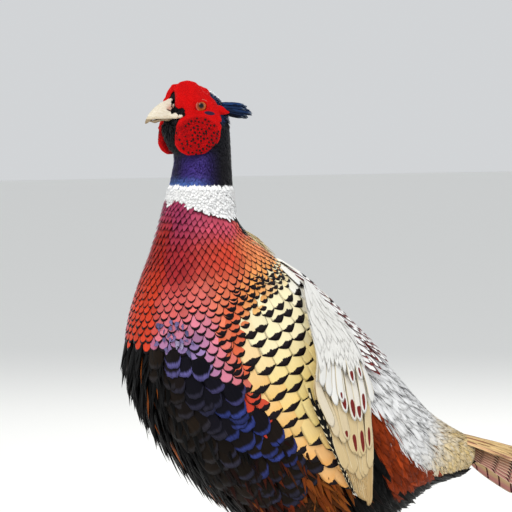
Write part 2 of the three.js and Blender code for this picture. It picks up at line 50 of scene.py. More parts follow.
# The photo's view, in metres and degrees.
view = dict(azimuth=-30.0, elevation=3.0, distance=3.5, target=(-0.2750, 0.0, 0.3766), frameWidth=0.4506,
            sensor=36.0, farthest=60.0)


def addCamera():
    turn = math.radians(view["azimuth"])
    rise = math.radians(view["elevation"])
    back = Vector((math.sin(turn) * math.cos(rise), -math.cos(turn) * math.cos(rise), math.sin(rise)))
    lens = bpy.data.cameras.new("photoCamera")
    lens.sensor_width = view["sensor"]
    lens.lens = view["sensor"] * view["distance"] / view["frameWidth"]
    lens.clip_end = view["farthest"]
    camera = bpy.data.objects.new("photoCamera", lens)
    bpy.context.scene.collection.objects.link(camera)
    camera.location = Vector(view["target"]) + back * view["distance"]
    camera.rotation_euler = back.to_track_quat("Z", "Y").to_euler()
    bpy.context.scene.camera = camera
    bpy.context.scene.view_settings.view_transform = "Standard"


# Each lamp: place, size in metres, power in watts, colour. All of them point at the middle of the bird.
lamps = dict(
    key=((-1.9, -1.6, 2.4), 1.5, 44.0, (1.0, 0.97, 0.92)),
    fill=((1.6, -2.2, 1.3), 2.0, 16.0, (0.95, 0.97, 1.0)),
    rim=((1.2, 1.9, 2.0), 1.4, 24.0, (1.0, 0.98, 0.95)),
    low=((-2.2, 0.9, 0.7), 1.6, 9.0, (0.96, 0.98, 1.0)),
)
studio = dict(aim=(-0.2, 0.0, 0.30), floorSize=24.0, floorColour=(0.92, 0.92, 0.90, 1.0),
              air=(0.86, 0.88, 0.90, 1.0), airStrength=0.75)


def addLights():
    for name, (place, size, power, colour) in lamps.items():
        lamp = bpy.data.lights.new(name + "Lamp", "AREA")
        lamp.shape = "DISK"
        lamp.size = size
        lamp.energy = power
        lamp.color = colour
        holder = bpy.data.objects.new(name + "Lamp", lamp)
        bpy.context.scene.collection.objects.link(holder)
        holder.location = place
        holder.rotation_euler = (Vector(place) - Vector(studio["aim"])).to_track_quat("Z", "Y").to_euler()
    world = bpy.data.worlds.new("paleStudio")
    world.use_nodes = True
    world.node_tree.nodes["Background"].inputs["Color"].default_value = studio["air"]
    world.node_tree.nodes["Background"].inputs["Strength"].default_value = studio["airStrength"]
    bpy.context.scene.world = world


def addFloor():
    deselectAll()
    bpy.ops.mesh.primitive_plane_add(size=studio["floorSize"], location=(0.0, 0.0, 0.0))
    floor = bpy.context.object
    floor.name = "floor"
    finish = Finish("paleFloor", roughness=0.9)
    finish.colour(studio["floorColour"])
    floor.data.materials.append(finish.material)


def sideName(side):
    return "left" if side < 0 else "right"


def at(line, values):
    # the value at each place along a line of places and values
    return np.interp(values, [row[0] for row in line], [row[1] for row in line])


def deselectAll():
    bpy.ops.object.select_all(action="DESELECT")


def makeActive(thing):
    deselectAll()
    thing.select_set(True)
    bpy.context.view_layer.objects.active = thing


def applyModifiers(thing):
    makeActive(thing)
    for modifier in list(thing.modifiers):
        bpy.ops.object.modifier_apply(modifier=modifier.name)


def pointsOf(mesh):
    flat = np.empty(len(mesh.vertices) * 3)
    mesh.vertices.foreach_get("co", flat)
    return flat.reshape(-1, 3)


class Wire:
    # A value in a shader. The operators add Math nodes, so a mask is written as an expression.
    def __init__(self, finish, socket):
        self.finish = finish
        self.socket = socket

    def math(self, operation, *others):
        return self.finish.node("ShaderNodeMath", dict(operation=operation),
                                dict(enumerate((self,) + others)))

    def __add__(self, other):
        return self.math("ADD", other)

    def __radd__(self, other):
        return self.math("ADD", other)

    def __sub__(self, other):
        return self.math("SUBTRACT", other)

    def __rsub__(self, other):
        return self.finish.node("ShaderNodeMath", dict(operation="SUBTRACT"), {0: other, 1: self})

    def __mul__(self, other):
        return self.math("MULTIPLY", other)

    def __rmul__(self, other):
        return self.math("MULTIPLY", other)

    def __truediv__(self, other):
        return self.math("DIVIDE", other)

    def __pow__(self, other):
        return self.math("POWER", other)

    def __abs__(self):
        return self.math("ABSOLUTE")

    def most(self, other):
        return self.math("MAXIMUM", other)

    def least(self, other):
        return self.math("MINIMUM", other)

    def wave(self):
        return self.math("SINE")

    def rises(self, low, high):
        # 0 below low and 1 above high, with a soft step between
        settings = dict(interpolation_type="SMOOTHSTEP", clamp=True)
        return self.finish.node("ShaderNodeMapRange", settings, {0: self, 1: low, 2: high, 3: 0.0, 4: 1.0})

    def falls(self, low, high):
        return 1.0 - self.rises(low, high)


class Finish:
    # One material: its node tree and the Principled shader at its end.
    def __init__(self, name, roughness=0.5, gleam=0.12, **fixed):
        self.material = bpy.data.materials.new(name)
        self.material.use_nodes = True
        self.tree = self.material.node_tree
        self.shader = self.tree.nodes["Principled BSDF"]
        self.shader.inputs["Roughness"].default_value = roughness
        self.shader.inputs["Specular IOR Level"].default_value = gleam
        for words, value in fixed.items():
            self.shader.inputs[words.replace("_", " ")].default_value = value

    def feed(self, socket, value):
        if isinstance(value, Wire):
            self.tree.links.new(value.socket, socket)
        elif isinstance(value, tuple) and len(value) == 3 and socket.type == "RGBA":
            socket.default_value = value + (1.0,)
        else:
            socket.default_value = value

    def node(self, kind, settings=None, sockets=None, out=0):
        made = self.tree.nodes.new(kind)
        for words, value in (settings or {}).items():
            setattr(made, words, value)
        for key, value in (sockets or {}).items():
            self.feed(made.inputs[key], value)
        return Wire(self, made.outputs[out])

    def mixed(self, share, first, second, blend="MIX"):
        settings = dict(data_type="RGBA", blend_type=blend)
        return self.node("ShaderNodeMix", settings, {0: share, 6: first, 7: second}, out=2)

    def paint(self, words):
        return self.node("ShaderNodeAttribute", dict(attribute_name=words), out="Color")

    def trait(self, words):
        return self.node("ShaderNodeAttribute", dict(attribute_name=words), out="Fac")

    def vane(self):
        # how far a point is across from the shaft, -1 to 1, how far it is along from the root, and the
        # feather's chance
        place = self.node("ShaderNodeUVMap", dict(uv_map="vane"))
        u = self.node("ShaderNodeSeparateXYZ", {}, {0: place}, out="X")
        v = self.node("ShaderNodeSeparateXYZ", {}, {0: place}, out="Y")
        return u * 2.0 - 1.0, v, self.trait("chance")

    def noise(self, scale, detail=3.0, where=None, distortion=0.0):
        if where is None:
            where = self.node("ShaderNodeTexCoord", out="Object")
        sockets = {"Vector": where, "Scale": scale, "Detail": detail, "Distortion": distortion}
        return self.node("ShaderNodeTexNoise", {}, sockets)

    def colour(self, value):
        self.feed(self.shader.inputs["Base Color"], value)

    def surface(self, words, value):
        self.feed(self.shader.inputs[words], value)

    def bump(self, height, strength=0.5, distance=0.0005):
        bumped = self.node("ShaderNodeBump", {},
                           {"Height": height, "Strength": strength, "Distance": distance})
        self.feed(self.shader.inputs["Normal"], bumped)


# The guide rings of the coat, each across the body from a point on the back to one on the belly or throat, in
# mm: back x and z, then front x and z. They run from the tail's root to the bill, square to the feathers'
# lie.
guide = dict(
    rings=[
        (226, 192, 225, 186), (171, 210, 169, 174), (148, 222, 115, 155), (125, 240, 60, 130),
        (106, 260, 0, 127), (88, 276, -60, 147), (66, 297, -112, 187), (40, 321, -148, 232),
        (8, 349, -165, 280), (-22, 370, -164, 318), (-45, 388, -154, 355), (-60, 399, -143, 392),
        (-71, 405, -131, 428), (-73, 438, -129, 441), (-74, 460, -126, 455), (-76, 496, -131, 480),
        (-98, 522, -136, 491), (-124, 524.5, -137.5, 496), (-131.5, 514.5, -138.4, 499),
    ],
    ringCount=289,
    turnCount=144,
)
# The skin, in mm: how deep it lies under the CAD surface, by height over the floor, and the size of its
# cells. It is first swollen a little, so that thin parts survive, and then drawn in by as much more.
skinShape = dict(
    depth=[(0, 2.0), (120, 3.0), (200, 4.5), (380, 4.5), (420, 3.0), (450, 2.2), (490, 1.4), (530, 1.2)],
    deepest=5.0, swell=0.7, voxel=2.5,
)


def mergedCopy(name, nodes):
    deselectAll()
    copies = []
    for node in nodes:
        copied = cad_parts[node].copy()
        copied.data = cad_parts[node].data.copy()
        bpy.context.scene.collection.objects.link(copied)
        copied.hide_set(False)
        copied.select_set(True)
        copies.append(copied)
    bpy.context.view_layer.objects.active = copies[0]
    if len(copies) > 1:
        bpy.ops.object.join()
    joined = bpy.context.object
    joined.name = name
    joined.data.materials.clear()
    bpy.ops.object.mode_set(mode="EDIT")
    bpy.ops.mesh.select_all(action="SELECT")
    bpy.ops.mesh.remove_doubles(threshold=0.00001)
    bpy.ops.object.mode_set(mode="OBJECT")
    return joined


def addModifier(thing, kind, **settings):
    modifier = thing.modifiers.new(kind.lower(), kind)
    for words, value in settings.items():
        setattr(modifier, words, value)
    return modifier


def fleshOf(name, nodes):
    # the nodes of flesh as one closed surface, drawn in by the coat's depth
    skin = mergedCopy(name, nodes)
    addModifier(skin, "DISPLACE", strength=skinShape["swell"] * mm, mid_level=0.0)
    addModifier(skin, "REMESH", mode="VOXEL", voxel_size=skinShape["voxel"] * mm)
    addModifier(skin, "SMOOTH", factor=0.6, iterations=8)
    applyModifiers(skin)
    heights = pointsOf(skin.data)[:, 2] / mm
    depths = at(skinShape["depth"], heights)
    group = skin.vertex_groups.new(name="depth")
    for index, depth in enumerate(depths):
        group.add([index], float(depth / skinShape["deepest"]), "REPLACE")
    addModifier(skin, "DISPLACE", strength=-(skinShape["deepest"] + skinShape["swell"]) * mm, mid_level=0.0,
                vertex_group="depth")
    addModifier(skin, "SMOOTH", factor=0.5, iterations=3)
    applyModifiers(skin)
    return skin


def treeOf(thing):
    return BVHTree.FromObject(thing, bpy.context.evaluated_depsgraph_get())


def smoothCurve(rows, count):
    # a Catmull-Rom curve through the rows, at evenly spaced shares of the whole
    rows = np.array(rows, float)
    padded = np.vstack([2 * rows[0] - rows[1], rows, 2 * rows[-1] - rows[-2]])
    shares = np.linspace(0, len(rows) - 1, count)
    start = np.minimum(shares.astype(int), len(rows) - 2)
    t = (shares - start)[:, None]
    a, b, c, d = (padded[start + k] for k in range(4))
    bend = 2 * a - 5 * b + 4 * c - d
    return 0.5 * (2 * b + (c - a) * t + bend * t ** 2 + (3 * b - a - 3 * c + d) * t ** 3)


def roundGrid(tree, centres, ups, sides, turnCount):
    # points on the surface, ring by ring, from the back ridge round by the left side
    rays = 180
    angles = np.linspace(0, 2 * math.pi, rays, endpoint=False)
    grid = np.empty((len(centres), turnCount, 3))
    for row, (centre, up, side) in enumerate(zip(centres, ups, sides)):
        ring = []
        for angle in angles:
            way = Vector(math.cos(angle) * up + math.sin(angle) * side)
            centre = Vector(centre)
            place = tree.ray_cast(centre, way)[0]
            ring.append(place if place is not None else centre + way * mm)
        ring = np.array(ring + ring[:1])
        lengths = np.concatenate([[0], np.cumsum(np.linalg.norm(np.diff(ring, axis=0), axis=1))])
        wanted = np.linspace(0, lengths[-1], turnCount, endpoint=False)
        for axis in range(3):
            grid[row, :, axis] = np.interp(wanted, lengths, ring[:, axis])
    for _ in range(3):
        grid = 0.5 * grid + 0.25 * (np.roll(grid, 1, 1) + np.roll(grid, -1, 1))
        grid[1:-1] = 0.5 * grid[1:-1] + 0.25 * (grid[2:] + grid[:-2])
    return grid


class Chart:
    # A surface as a grid of rings and turns, on which feathers are laid. They lie towards ring 0.
    def __init__(self, grid, marks, outward=None):
        self.grid = grid
        self.rings, self.turns = grid.shape[:2]
        alongRing = np.gradient(grid, axis=0)
        alongTurn = 0.5 * (np.roll(grid, -1, 1) - np.roll(grid, 1, 1))
        if outward is not None:
            alongTurn[:, 0], alongTurn[:, -1] = alongTurn[:, 1], alongTurn[:, -2]
        normal = np.cross(alongTurn, alongRing)
        outward = grid - grid.mean(axis=1, keepdims=True) if outward is None else np.array(outward)
        normal *= np.sign((normal * outward).sum(axis=2).mean())
        self.normal = normal / np.maximum(np.linalg.norm(normal, axis=2, keepdims=True), 1e-12)
        self.alongRing = alongRing
        self.alongTurn = alongTurn
        self.marks = marks
        self.girth = np.linalg.norm(np.diff(grid, axis=1, append=grid[:, :1]), axis=2).sum(axis=1)

    def look(self, field, ring, turn):
        ring = np.clip(ring, 0, self.rings - 1.001)
        turn = np.mod(turn, self.turns)
        r0 = ring.astype(int)
        t0 = turn.astype(int) % self.turns
        r1 = r0 + 1
        t1 = (t0 + 1) % self.turns
        fr = (ring - r0)[..., None]
        ft = (turn - np.floor(turn))[..., None]
        near = field[r0, t0] * (1 - ft) + field[r0, t1] * ft
        far = field[r1, t0] * (1 - ft) + field[r1, t1] * ft
        return near * (1 - fr) + far * fr

    def steps(self, ring, turn, way):
        # how far the ring and turn numbers change for one metre along way, a direction in the surface
        a = self.look(self.alongRing, ring, turn)
        b = self.look(self.alongTurn, ring, turn)
        aa, ab, bb = (a * a).sum(-1), (a * b).sum(-1), (b * b).sum(-1)
        aw, bw = (a * way).sum(-1), (b * way).sum(-1)
        size = np.maximum(aa * bb - ab * ab, 1e-14)
        return (bb * aw - ab * bw) / size, (aa * bw - ab * aw) / size


def unit(vectors):
    return vectors / np.maximum(np.linalg.norm(vectors, axis=-1, keepdims=True), 1e-12)


def softStep(values, low, high):
    t = np.clip((values - low) / (high - low), 0, 1)
    return t * t * (3 - 2 * t)


def bodyChart(tree):
    rows = smoothCurve(guide["rings"], guide["ringCount"])
    flat = np.zeros(len(rows))
    backs = np.stack([rows[:, 0] * mm + cadShift, flat, rows[:, 1] * mm], axis=1)
    fronts = np.stack([rows[:, 2] * mm + cadShift, flat, rows[:, 3] * mm], axis=1)
    sides = np.tile(np.array([0.0, -1.0, 0.0]), (len(rows), 1))
    grid = roundGrid(tree, 0.5 * (backs + fronts), unit(backs - fronts), sides, guide["turnCount"])
    return Chart(grid, len(guide["rings"]))


def treeOfNodes(nodes):
    # the CAD surfaces of several nodes as one thing to cast rays at
    points, faces = [], []
    for node in nodes:
        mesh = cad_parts[node].data
        start = len(points)
        points.extend(vertex.co.copy() for vertex in mesh.vertices)
        faces.extend([start + index for index in face.vertices] for face in mesh.polygons)
    return BVHTree.FromPolygons(points, faces)


def spreadOf(cut, v, taper, closing):
    # the share of its width that a vane has along its length: wider from the root, and narrower towards some
    # tips
    taper = cut.get("taper", taper)
    spread = taper + (1 - taper) * np.sin(np.clip(v / 0.6, 0, 1) * math.pi / 2)
    return spread * (1 - cut.get("close", 0.0) * np.clip((v - closing) / (1 - closing), 0, 1) ** 1.5)


def layVanes(chart, roots, sizes, cut):
    # The points of every vane, as an array of vanes by rows by columns by 3. Each size is one value for all
    # of them or one for each: length, width, and optional yaw, hang, loose, sink, lift and roll. cut is the
    # vane's shape.
    steps = 8
    count = roots.count
    keys = ("length", "width", "yaw", "hang", "loose", "sink", "lift", "roll")
    length, width, yaw, hang, loose, sink, lift, roll = (
        np.broadcast_to(np.array(sizes.get(key, 0.0), float), count) for key in keys)
    ring, turn = roots.ring, roots.turn
    track, sideways, headings = [], [], []
    for _ in range(steps + 1):
        normal = unit(chart.look(chart.normal, ring, turn))
        flow = -unit(chart.look(chart.alongRing, ring, turn))
        down = np.array([0.0, 0.0, -1.0]) - normal * -normal[:, 2:3]
        heading = flow * (1 - hang[:, None]) + down * hang[:, None]
        heading = unit(heading - normal * (heading * normal).sum(-1, keepdims=True))
        across = np.cross(normal, heading)
        turned = heading * np.cos(yaw)[:, None] + across * np.sin(yaw)[:, None]
        across = np.cross(normal, turned)
        track.append((ring, turn))
        sideways.append(chart.steps(ring, turn, across))
        headings.append((turned, across, normal))
        ringStep, turnStep = chart.steps(ring, turn, turned)
        ring = ring + ringStep * length / steps
        turn = turn + turnStep * length / steps
    track = np.array(track)
    sideways = np.array(sideways)
    s = np.linspace(-1, 1, cut["columns"])
    v = np.linspace(0, 1, cut["rows"]) ** 0.8      # rows stand closer near the root
    shoulder, point, blunt = (np.broadcast_to(np.array(cut.get(key, usual), float), count)[:, None]
                              for key, usual in (("shoulder", 0.6), ("point", 2.0), ("blunt", 0.5)))
    reach = shoulder + (1 - shoulder) * (1 - np.abs(s) ** point) ** blunt
    spread = spreadOf(cut, v, 0.4, 0.6)
    along = v[None, :, None] * reach[:, None, :]
    if cut.get("ragged"):
        chance = np.random.default_rng(5).uniform(-1, 1, (count, 1, len(s)))
        along *= 1 + cut["ragged"] * chance * (v[None, :, None] ** 2)
    place = np.clip(along, 0, 1.15) * steps
    low = np.minimum(place.astype(int), steps - 1)
    share = place - low
    vane = np.arange(count)[:, None, None]

    def onTrack(values):
        return values[low, vane] * (1 - share) + values[low + 1, vane] * share

    lateral = s[None, None, :] * spread[None, :, None] * width[:, None, None]
    ringAt = onTrack(track[:, 0]) + onTrack(sideways[:, 0]) * lateral
    turnAt = onTrack(track[:, 1]) + onTrack(sideways[:, 1]) * lateral
    height = sink[:, None, None] + (lift - sink)[:, None, None] * along ** cut.get("rise", 0.8)
    height = height + cut.get("camber", 0.12) * width[:, None, None] * (1 - s ** 2) * spread[None, :, None]
    height = height + roll[:, None, None] * lateral
    surface = chart.look(chart.grid, ringAt, turnAt)
    points = surface + chart.look(chart.normal, ringAt, turnAt) * height[..., None]
    if np.any(loose > 0):
        turned, across, normal = headings[0]
        start = chart.look(chart.grid, roots.ring, roots.turn)
        reachOut = along * length[:, None, None]
        free = start[:, None, None, :] + turned[:, None, None, :] * reachOut[..., None]
        free = free + across[:, None, None, :] * lateral[..., None]
        free = free + normal[:, None, None, :] * height[..., None]
        free[..., 2] -= cut.get("droop", 0.15) * reachOut ** 2 / length[:, None, None]
        part = (loose[:, None, None] * softStep(along, 0.1, 0.8))[..., None]
        points = points * (1 - part) + free * part
    return points


def vaneMesh(name, points, chartPlace, paints, traits, material, unders=None):
    # One mesh of closed vanes: a domed top, and a flat underside that shares its rim. With unders, the points
    # of the undersides, each vane has a second sheet and walls round its rim.
    count, rows, columns = points.shape[:3]
    each = rows * columns
    index = np.arange(each).reshape(rows, columns)
    top = np.stack([index[:-1, :-1], index[1:, :-1], index[1:, 1:], index[:-1, 1:]], axis=-1).reshape(-1, 4)
    rim = np.concatenate([index[:-1, 0], index[-1, :-1], index[:0:-1, -1], index[0, :0:-1]])
    if unders is None:
        under = np.stack([index[:-1, 0], index[:-1, -1], index[1:, -1], index[1:, 0]], axis=-1)
        quads = np.vstack([top, under])
        ends = [np.concatenate([[index[-1, 0]], index[-1, :0:-1]]), index[0]]
    else:
        walls = np.stack([rim, rim + each, np.roll(rim, -1) + each, np.roll(rim, -1)], axis=-1)
        quads = np.vstack([top, top[:, ::-1] + each, walls[:, ::-1]])
        ends = []
        points = np.concatenate([points.reshape(count, each, 3), unders.reshape(count, each, 3)], axis=1)
        each = 2 * each
    offsets = np.arange(count)[:, None, None] * each
    caps = [(end[None] + offsets[:, :, 0]).reshape(-1) for end in ends]
    parts = [(quads[None] + offsets).reshape(-1)] + caps
    loops = np.concatenate(parts).astype(np.int32)
    sizes = np.concatenate([np.full(count * len(quads), 4),
                            np.full(len(ends) * count, columns)]).astype(np.int32)
    starts = np.concatenate([[0], np.cumsum(sizes)[:-1]]).astype(np.int32)
    mesh = bpy.data.meshes.new(name)
    mesh.vertices.add(count * each)
    mesh.vertices.foreach_set("co", points.reshape(-1).astype(np.float32))
    mesh.loops.add(len(loops))
    mesh.loops.foreach_set("vertex_index", loops)
    mesh.polygons.add(len(sizes))
    mesh.polygons.foreach_set("loop_start", starts)
    soft = np.zeros(len(sizes), bool)      # the tops and the second sheets; their rims stay crisp
    sheets = len(top) if unders is None else 2 * len(top)
    soft[:count * len(quads)] = np.tile(np.arange(len(quads)) < sheets, count)
    mesh.polygons.foreach_set("use_smooth", soft)
    mesh.update(calc_edges=True)
    s = np.tile(np.linspace(0, 1, columns)[None, :], (rows, 1)).reshape(-1)
    v = np.tile(np.linspace(0, 1, rows)[:, None], (1, columns)).reshape(-1)
    vane = np.tile(np.stack([s, v], axis=1), (count * each // len(s), 1))
    patch = np.repeat(chartPlace, each, axis=0) + (vane - 0.5) * 0.003
    for words, values in (("vane", vane), ("OFBake", patch)):
        layer = mesh.uv_layers.new(name=words)
        layer.uv.foreach_set("vector", values[loops].reshape(-1).astype(np.float32))
    for words, values in paints.items():
        layer = mesh.color_attributes.new(words, "FLOAT_COLOR", "POINT")
        full = np.ones((count * each, 4), np.float32)
        full[:, :3] = np.repeat(np.broadcast_to(values, (count, 3)), each, axis=0)
        layer.data.foreach_set("color", full.reshape(-1))
    for words, values in traits.items():
        layer = mesh.attributes.new(words, "FLOAT", "POINT")
        layer.data.foreach_set("value", np.repeat(np.broadcast_to(values, count), each).astype(np.float32))
    mesh.materials.append(material)
    thing = bpy.data.objects.new(name, mesh)
    bpy.context.scene.collection.objects.link(thing)
    return thing


def fromScreen(red, green, blue):
    # a colour as a screen shows it, 0 to 255, as the shader's linear one
    values = np.array([red, green, blue]) / 255.0
    return tuple(np.where(values < 0.04045, values / 12.92, ((values + 0.055) / 1.055) ** 2.4))


class Roots:
    # Where feathers grow: ring and turn numbers on a chart, the room each has in metres, and what follows
    # from them.
    def __init__(self, chart, ring, turn, room):
        self.chart, self.ring, self.turn, self.room = chart, ring, turn, room
        self.station = ring / (chart.rings - 1) * (chart.marks - 1)
        share = np.mod(turn / chart.turns, 1.0)
        self.round = 2 * np.minimum(share, 1 - share)
        self.left = share < 0.5
        place = chart.look(chart.grid, ring, turn)
        self.x, self.y, self.z = place[:, 0] / mm - cadShift / mm, place[:, 1] / mm, place[:, 2] / mm
        self.count = len(ring)

    def kept(self, mask):
        return Roots(self.chart, self.ring[mask], self.turn[mask], self.room[mask])

    def drawn(self, chance, low=0.0, high=1.0):
        return chance.uniform(low, high, self.count)

    def jitter(self, chance, amount):
        return chance.normal(0, amount, self.count)

    def moved(self, chance, share):
        ringStep = self.chart.rings / (self.chart.marks - 1) * 0.1
        ring = self.ring + chance.normal(0, share * ringStep, self.count)
        turn = self.turn + chance.normal(0, share * self.chart.turns / 100, self.count)
        return Roots(self.chart, ring, turn, self.room)


def latticeOn(chart, part):
    # Rows of roots from the station first towards the station last, spaced by a share of the room each root
    # has. The spacing is one number, or a line of stations and numbers.
    turnCount, spacing, first, last = (part[key] for key in ("around", "spacing", "first", "last"))
    stagger = part.get("stagger", 0.5)
    toRing = (chart.rings - 1) / (chart.marks - 1)
    ring, number = first * toRing, 0
    rings, turns, rooms = [], [], []
    while ring > last * toRing:
        room = np.interp(ring, np.arange(chart.rings), chart.girth) / turnCount
        turn = (np.arange(turnCount) + (number * stagger) % 1.0) * chart.turns / turnCount
        rings.append(np.full(turnCount, ring))
        turns.append(turn)
        rooms.append(np.full(turnCount, room))
        side = chart.look(chart.alongRing, np.array([ring]), np.array([chart.turns * 0.25]))
        share = spacing if isinstance(spacing, float) else at(spacing, ring / toRing)
        ring -= share * room / float(np.linalg.norm(side))
        number += 1
    return Roots(chart, np.concatenate(rings), np.concatenate(turns), np.concatenate(rooms))


coatMarks = []


def layCoat(name, roots, cut, sizes, paints, traits, finish):
    # lays one tract of feathers as one mesh, with its patches for the baked colours
    points = layVanes(roots.chart, roots, sizes, cut)
    rows, columns = points.shape[1:3]
    coatMarks.append((points[:, rows * 2 // 3, columns // 2],
                      np.broadcast_to(paints["ground"], (roots.count, 3))))
    place = np.stack([np.mod(roots.turn / roots.chart.turns, 1.0), roots.ring / roots.chart.rings], axis=1)
    made = vaneMesh(name, points, place * 0.98 + 0.01, paints, traits, finish.material)
    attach(made, "root")
    sayStage("%s, %d feathers" % (name, roots.count))


def paintSkin(skin, depth):
    # the skin takes the colour of the feather that lies over it, darkened by depth: painted shade under the
    # coat, and the darker down between the feathers
    places = np.concatenate([place for place, colour in coatMarks])
    colours = np.concatenate([colour for place, colour in coatMarks]) * depth
    finder = KDTree(len(places))
    for index, place in enumerate(places):
        finder.insert(place, index)
    finder.balance()
    nearest = [finder.find(point)[1] for point in pointsOf(skin.data)]
    values = np.ones((len(nearest), 4), np.float32)
    values[:, :3] = colours[nearest]
    layer = skin.data.color_attributes.new("ground", "FLOAT_COLOR", "POINT")
    layer.data.foreach_set("color", values.reshape(-1))
    sayStage("skin markings")


def plain(roots, colour):
    return np.tile(np.array(colour), (roots.count, 1))


def blend(base, colour, share):
    share = np.reshape(np.clip(share, 0, 1), (-1, 1))
    return np.array(base) * (1 - share) + np.array(colour) * share


def varied(chance, base, amount):
    # each feather a little lighter or darker than the next
    return np.clip(base * np.exp(chance.normal(0, amount, (len(base), 1))), 0, 1)


def between(values, low, high, soft):
    # 1 inside low to high, fading to 0 over soft outside them
    return softStep(values, low - soft, low) * (1 - softStep(values, high, high + soft))


# Plumage colours as a screen shows them.
hues = dict(
    white=fromScreen(240, 240, 238), maroon=fromScreen(140, 44, 70),
    flame=fromScreen(196, 58, 34), tangerine=fromScreen(230, 132, 80),
    amber=fromScreen(234, 168, 92), gold=fromScreen(232, 206, 130), butter=fromScreen(238, 226, 184),
    lilac=fromScreen(198, 126, 156), heather=fromScreen(124, 112, 166), plum=fromScreen(40, 8, 24),
    ink=fromScreen(22, 14, 20), navy=fromScreen(12, 11, 20),
    coal=fromScreen(4, 4, 4), soot=fromScreen(22, 15, 9), ash=fromScreen(226, 226, 226),
    straw=fromScreen(224, 196, 134), rust=fromScreen(128, 46, 12),
    chestnut=fromScreen(124, 34, 30), violet=fromScreen(66, 54, 130), teal=fromScreen(62, 90, 170),
    night=fromScreen(15, 16, 14), mauve=fromScreen(196, 142, 134), buff=fromScreen(238, 206, 160),
)


def barbLines(across, v, chance, count):
    # the fine ribs that run out and forward from the shaft
    phase = (v * count - abs(across) * (count * 0.35) + chance * 6.0) * 6.283
    return phase.wave() * 0.5 + 0.5


def streaksOf(finish, across, v, chance, fine=7.0, long=1.6):
    # hair-like streaks along the feather
    where = finish.node("ShaderNodeCombineXYZ", {},
                        {0: across * fine + chance * 91.0, 1: v * long, 2: chance * 37.0})
    return finish.noise(1.0, 3.0, where)


def shaded(finish, colour, share, low=0.7, high=1.25):
    # the colour made darker or lighter by a value round 0.5
    grey = share * (high - low) + low
    tint = finish.node("ShaderNodeCombineXYZ", {}, {0: grey, 1: grey, 2: grey})
    return finish.mixed(1.0, colour, tint, "MULTIPLY")


def scaleFinish():
    # breast scales: a fine dark outline, deeper at the tip, and painted shade over each scale's root, where
    # the scale above covers it
    finish = Finish("breastScales", roughness=0.42)
    across, v, chance = finish.vane()
    tip = finish.trait("tipMark")
    streaks = streaksOf(finish, across, v, chance)
    sideRim = abs(across).rises(0.82, 0.92) * v.rises(0.30, 0.5)
    tipRim = (v + streaks * 0.04 - 0.02 + tip - 1.0).rises(-0.02, 0.02)
    # painted shade: each scale darker towards its root, and the root mixed with the outline's dark colour
    tone = streaks * 0.5 + barbLines(across, v, chance, 46.0) * 0.2 + v * 0.35
    colour = shaded(finish, finish.paint("ground"), tone, 0.72, 1.22)
    colour = finish.mixed(v.falls(0.12, 0.40) * 0.8, colour, finish.paint("edging"))
    colour = finish.mixed(sideRim.most(tipRim), colour, finish.paint("edging"))
    finish.colour(colour)
    finish.bump(streaks + abs(across).falls(0.02, 0.12) * 0.5, 0.25, 0.0003)
    return finish


def rhombFinish():
    # flank feathers: a black mark at the tip, its upper edge ragged, as deep and wide as each feather says
    finish = Finish("goldFlank", roughness=0.5)
    across, v, chance = finish.vane()
    streaks = streaksOf(finish, across, v, chance, 9.0, 1.2)
    aside = abs(across) / finish.trait("markWidth")
    deep = finish.trait("tipMark") * (1.0 - aside * 0.9 + (streaks - 0.5) * 0.45)
    mark = (v + deep - 1.0).rises(-0.006, 0.010) * aside.falls(0.94, 1.04)
    colour = shaded(finish, finish.paint("ground"), streaks * 0.8 + v * 0.2, 0.84, 1.14)
    colour = finish.mixed(v.falls(0.45, 0.95) * 0.45, colour, finish.paint("edging"))
    finish.colour(finish.mixed(mark, colour, finish.paint("mark")))
    finish.bump(streaks, 0.25, 0.0003)
    return finish


def rimFinish():
    # lower breast: near black with a soft glossy rim
    finish = Finish("darkScallops", roughness=0.45, gleam=0.06)
    across, v, chance = finish.vane()
    streaks = streaksOf(finish, across, v, chance, 8.0, 1.4)
    width = finish.trait("tipMark")
    place = v + streaks * 0.08 - 0.04 - abs(across) * 0.05
    rim = (place + width - 1.0).rises(-0.09, 0.05) * place.falls(0.945, 0.995)
    colour = finish.mixed(rim, finish.paint("ground"), finish.paint("edging"))
    finish.colour(shaded(finish, colour, streaks, 0.6, 1.5))
    finish.bump(streaks, 0.4, 0.0005)
    return finish


def strandFinish(name, roughness=0.55, low=0.55, high=1.45):
    # hair-like feathers and long loose ones: streaks from root to tip, and a dark tick near the tip of some
    finish = Finish(name, roughness=roughness, gleam=0.06)
    across, v, chance = finish.vane()
    streaks = streaksOf(finish, across, v, chance, 5.0, 0.8)
    colour = finish.mixed(v.rises(0.70, 0.98), finish.paint("ground"), finish.paint("edging"))
    colour = shaded(finish, colour, streaks, low, high)
    tick = v.rises(0.66, 0.74) * v.falls(0.90, 0.97) * finish.trait("tick")
    finish.colour(finish.mixed(tick, colour, fromScreen(40, 34, 34)))
    finish.bump(streaks, 0.5, 0.0004)
    return finish


def shaftFinish(name):
    # mantle and scapular feathers: a dark line inside the margin
    finish = Finish(name, roughness=0.5)
    across, v, chance = finish.vane()
    streaks = streaksOf(finish, across, v, chance, 6.0, 1.0)
    inset = finish.trait("tipMark")
    edge = abs(across).most((v - 0.5) * 2.0 - 0.02) + (streaks - 0.5) * 0.12
    line = edge.rises(inset - 0.15, inset - 0.10) * edge.falls(inset, inset + 0.06)
    border = edge.rises(inset, inset + 0.06)
    colour = finish.mixed(border, finish.paint("ground"), finish.paint("edging"))
    colour = finish.mixed(line, shaded(finish, colour, streaks, 0.8, 1.2), finish.paint("mark"))
    finish.colour(colour)
    finish.bump(streaks, 0.3, 0.0004)
    return finish


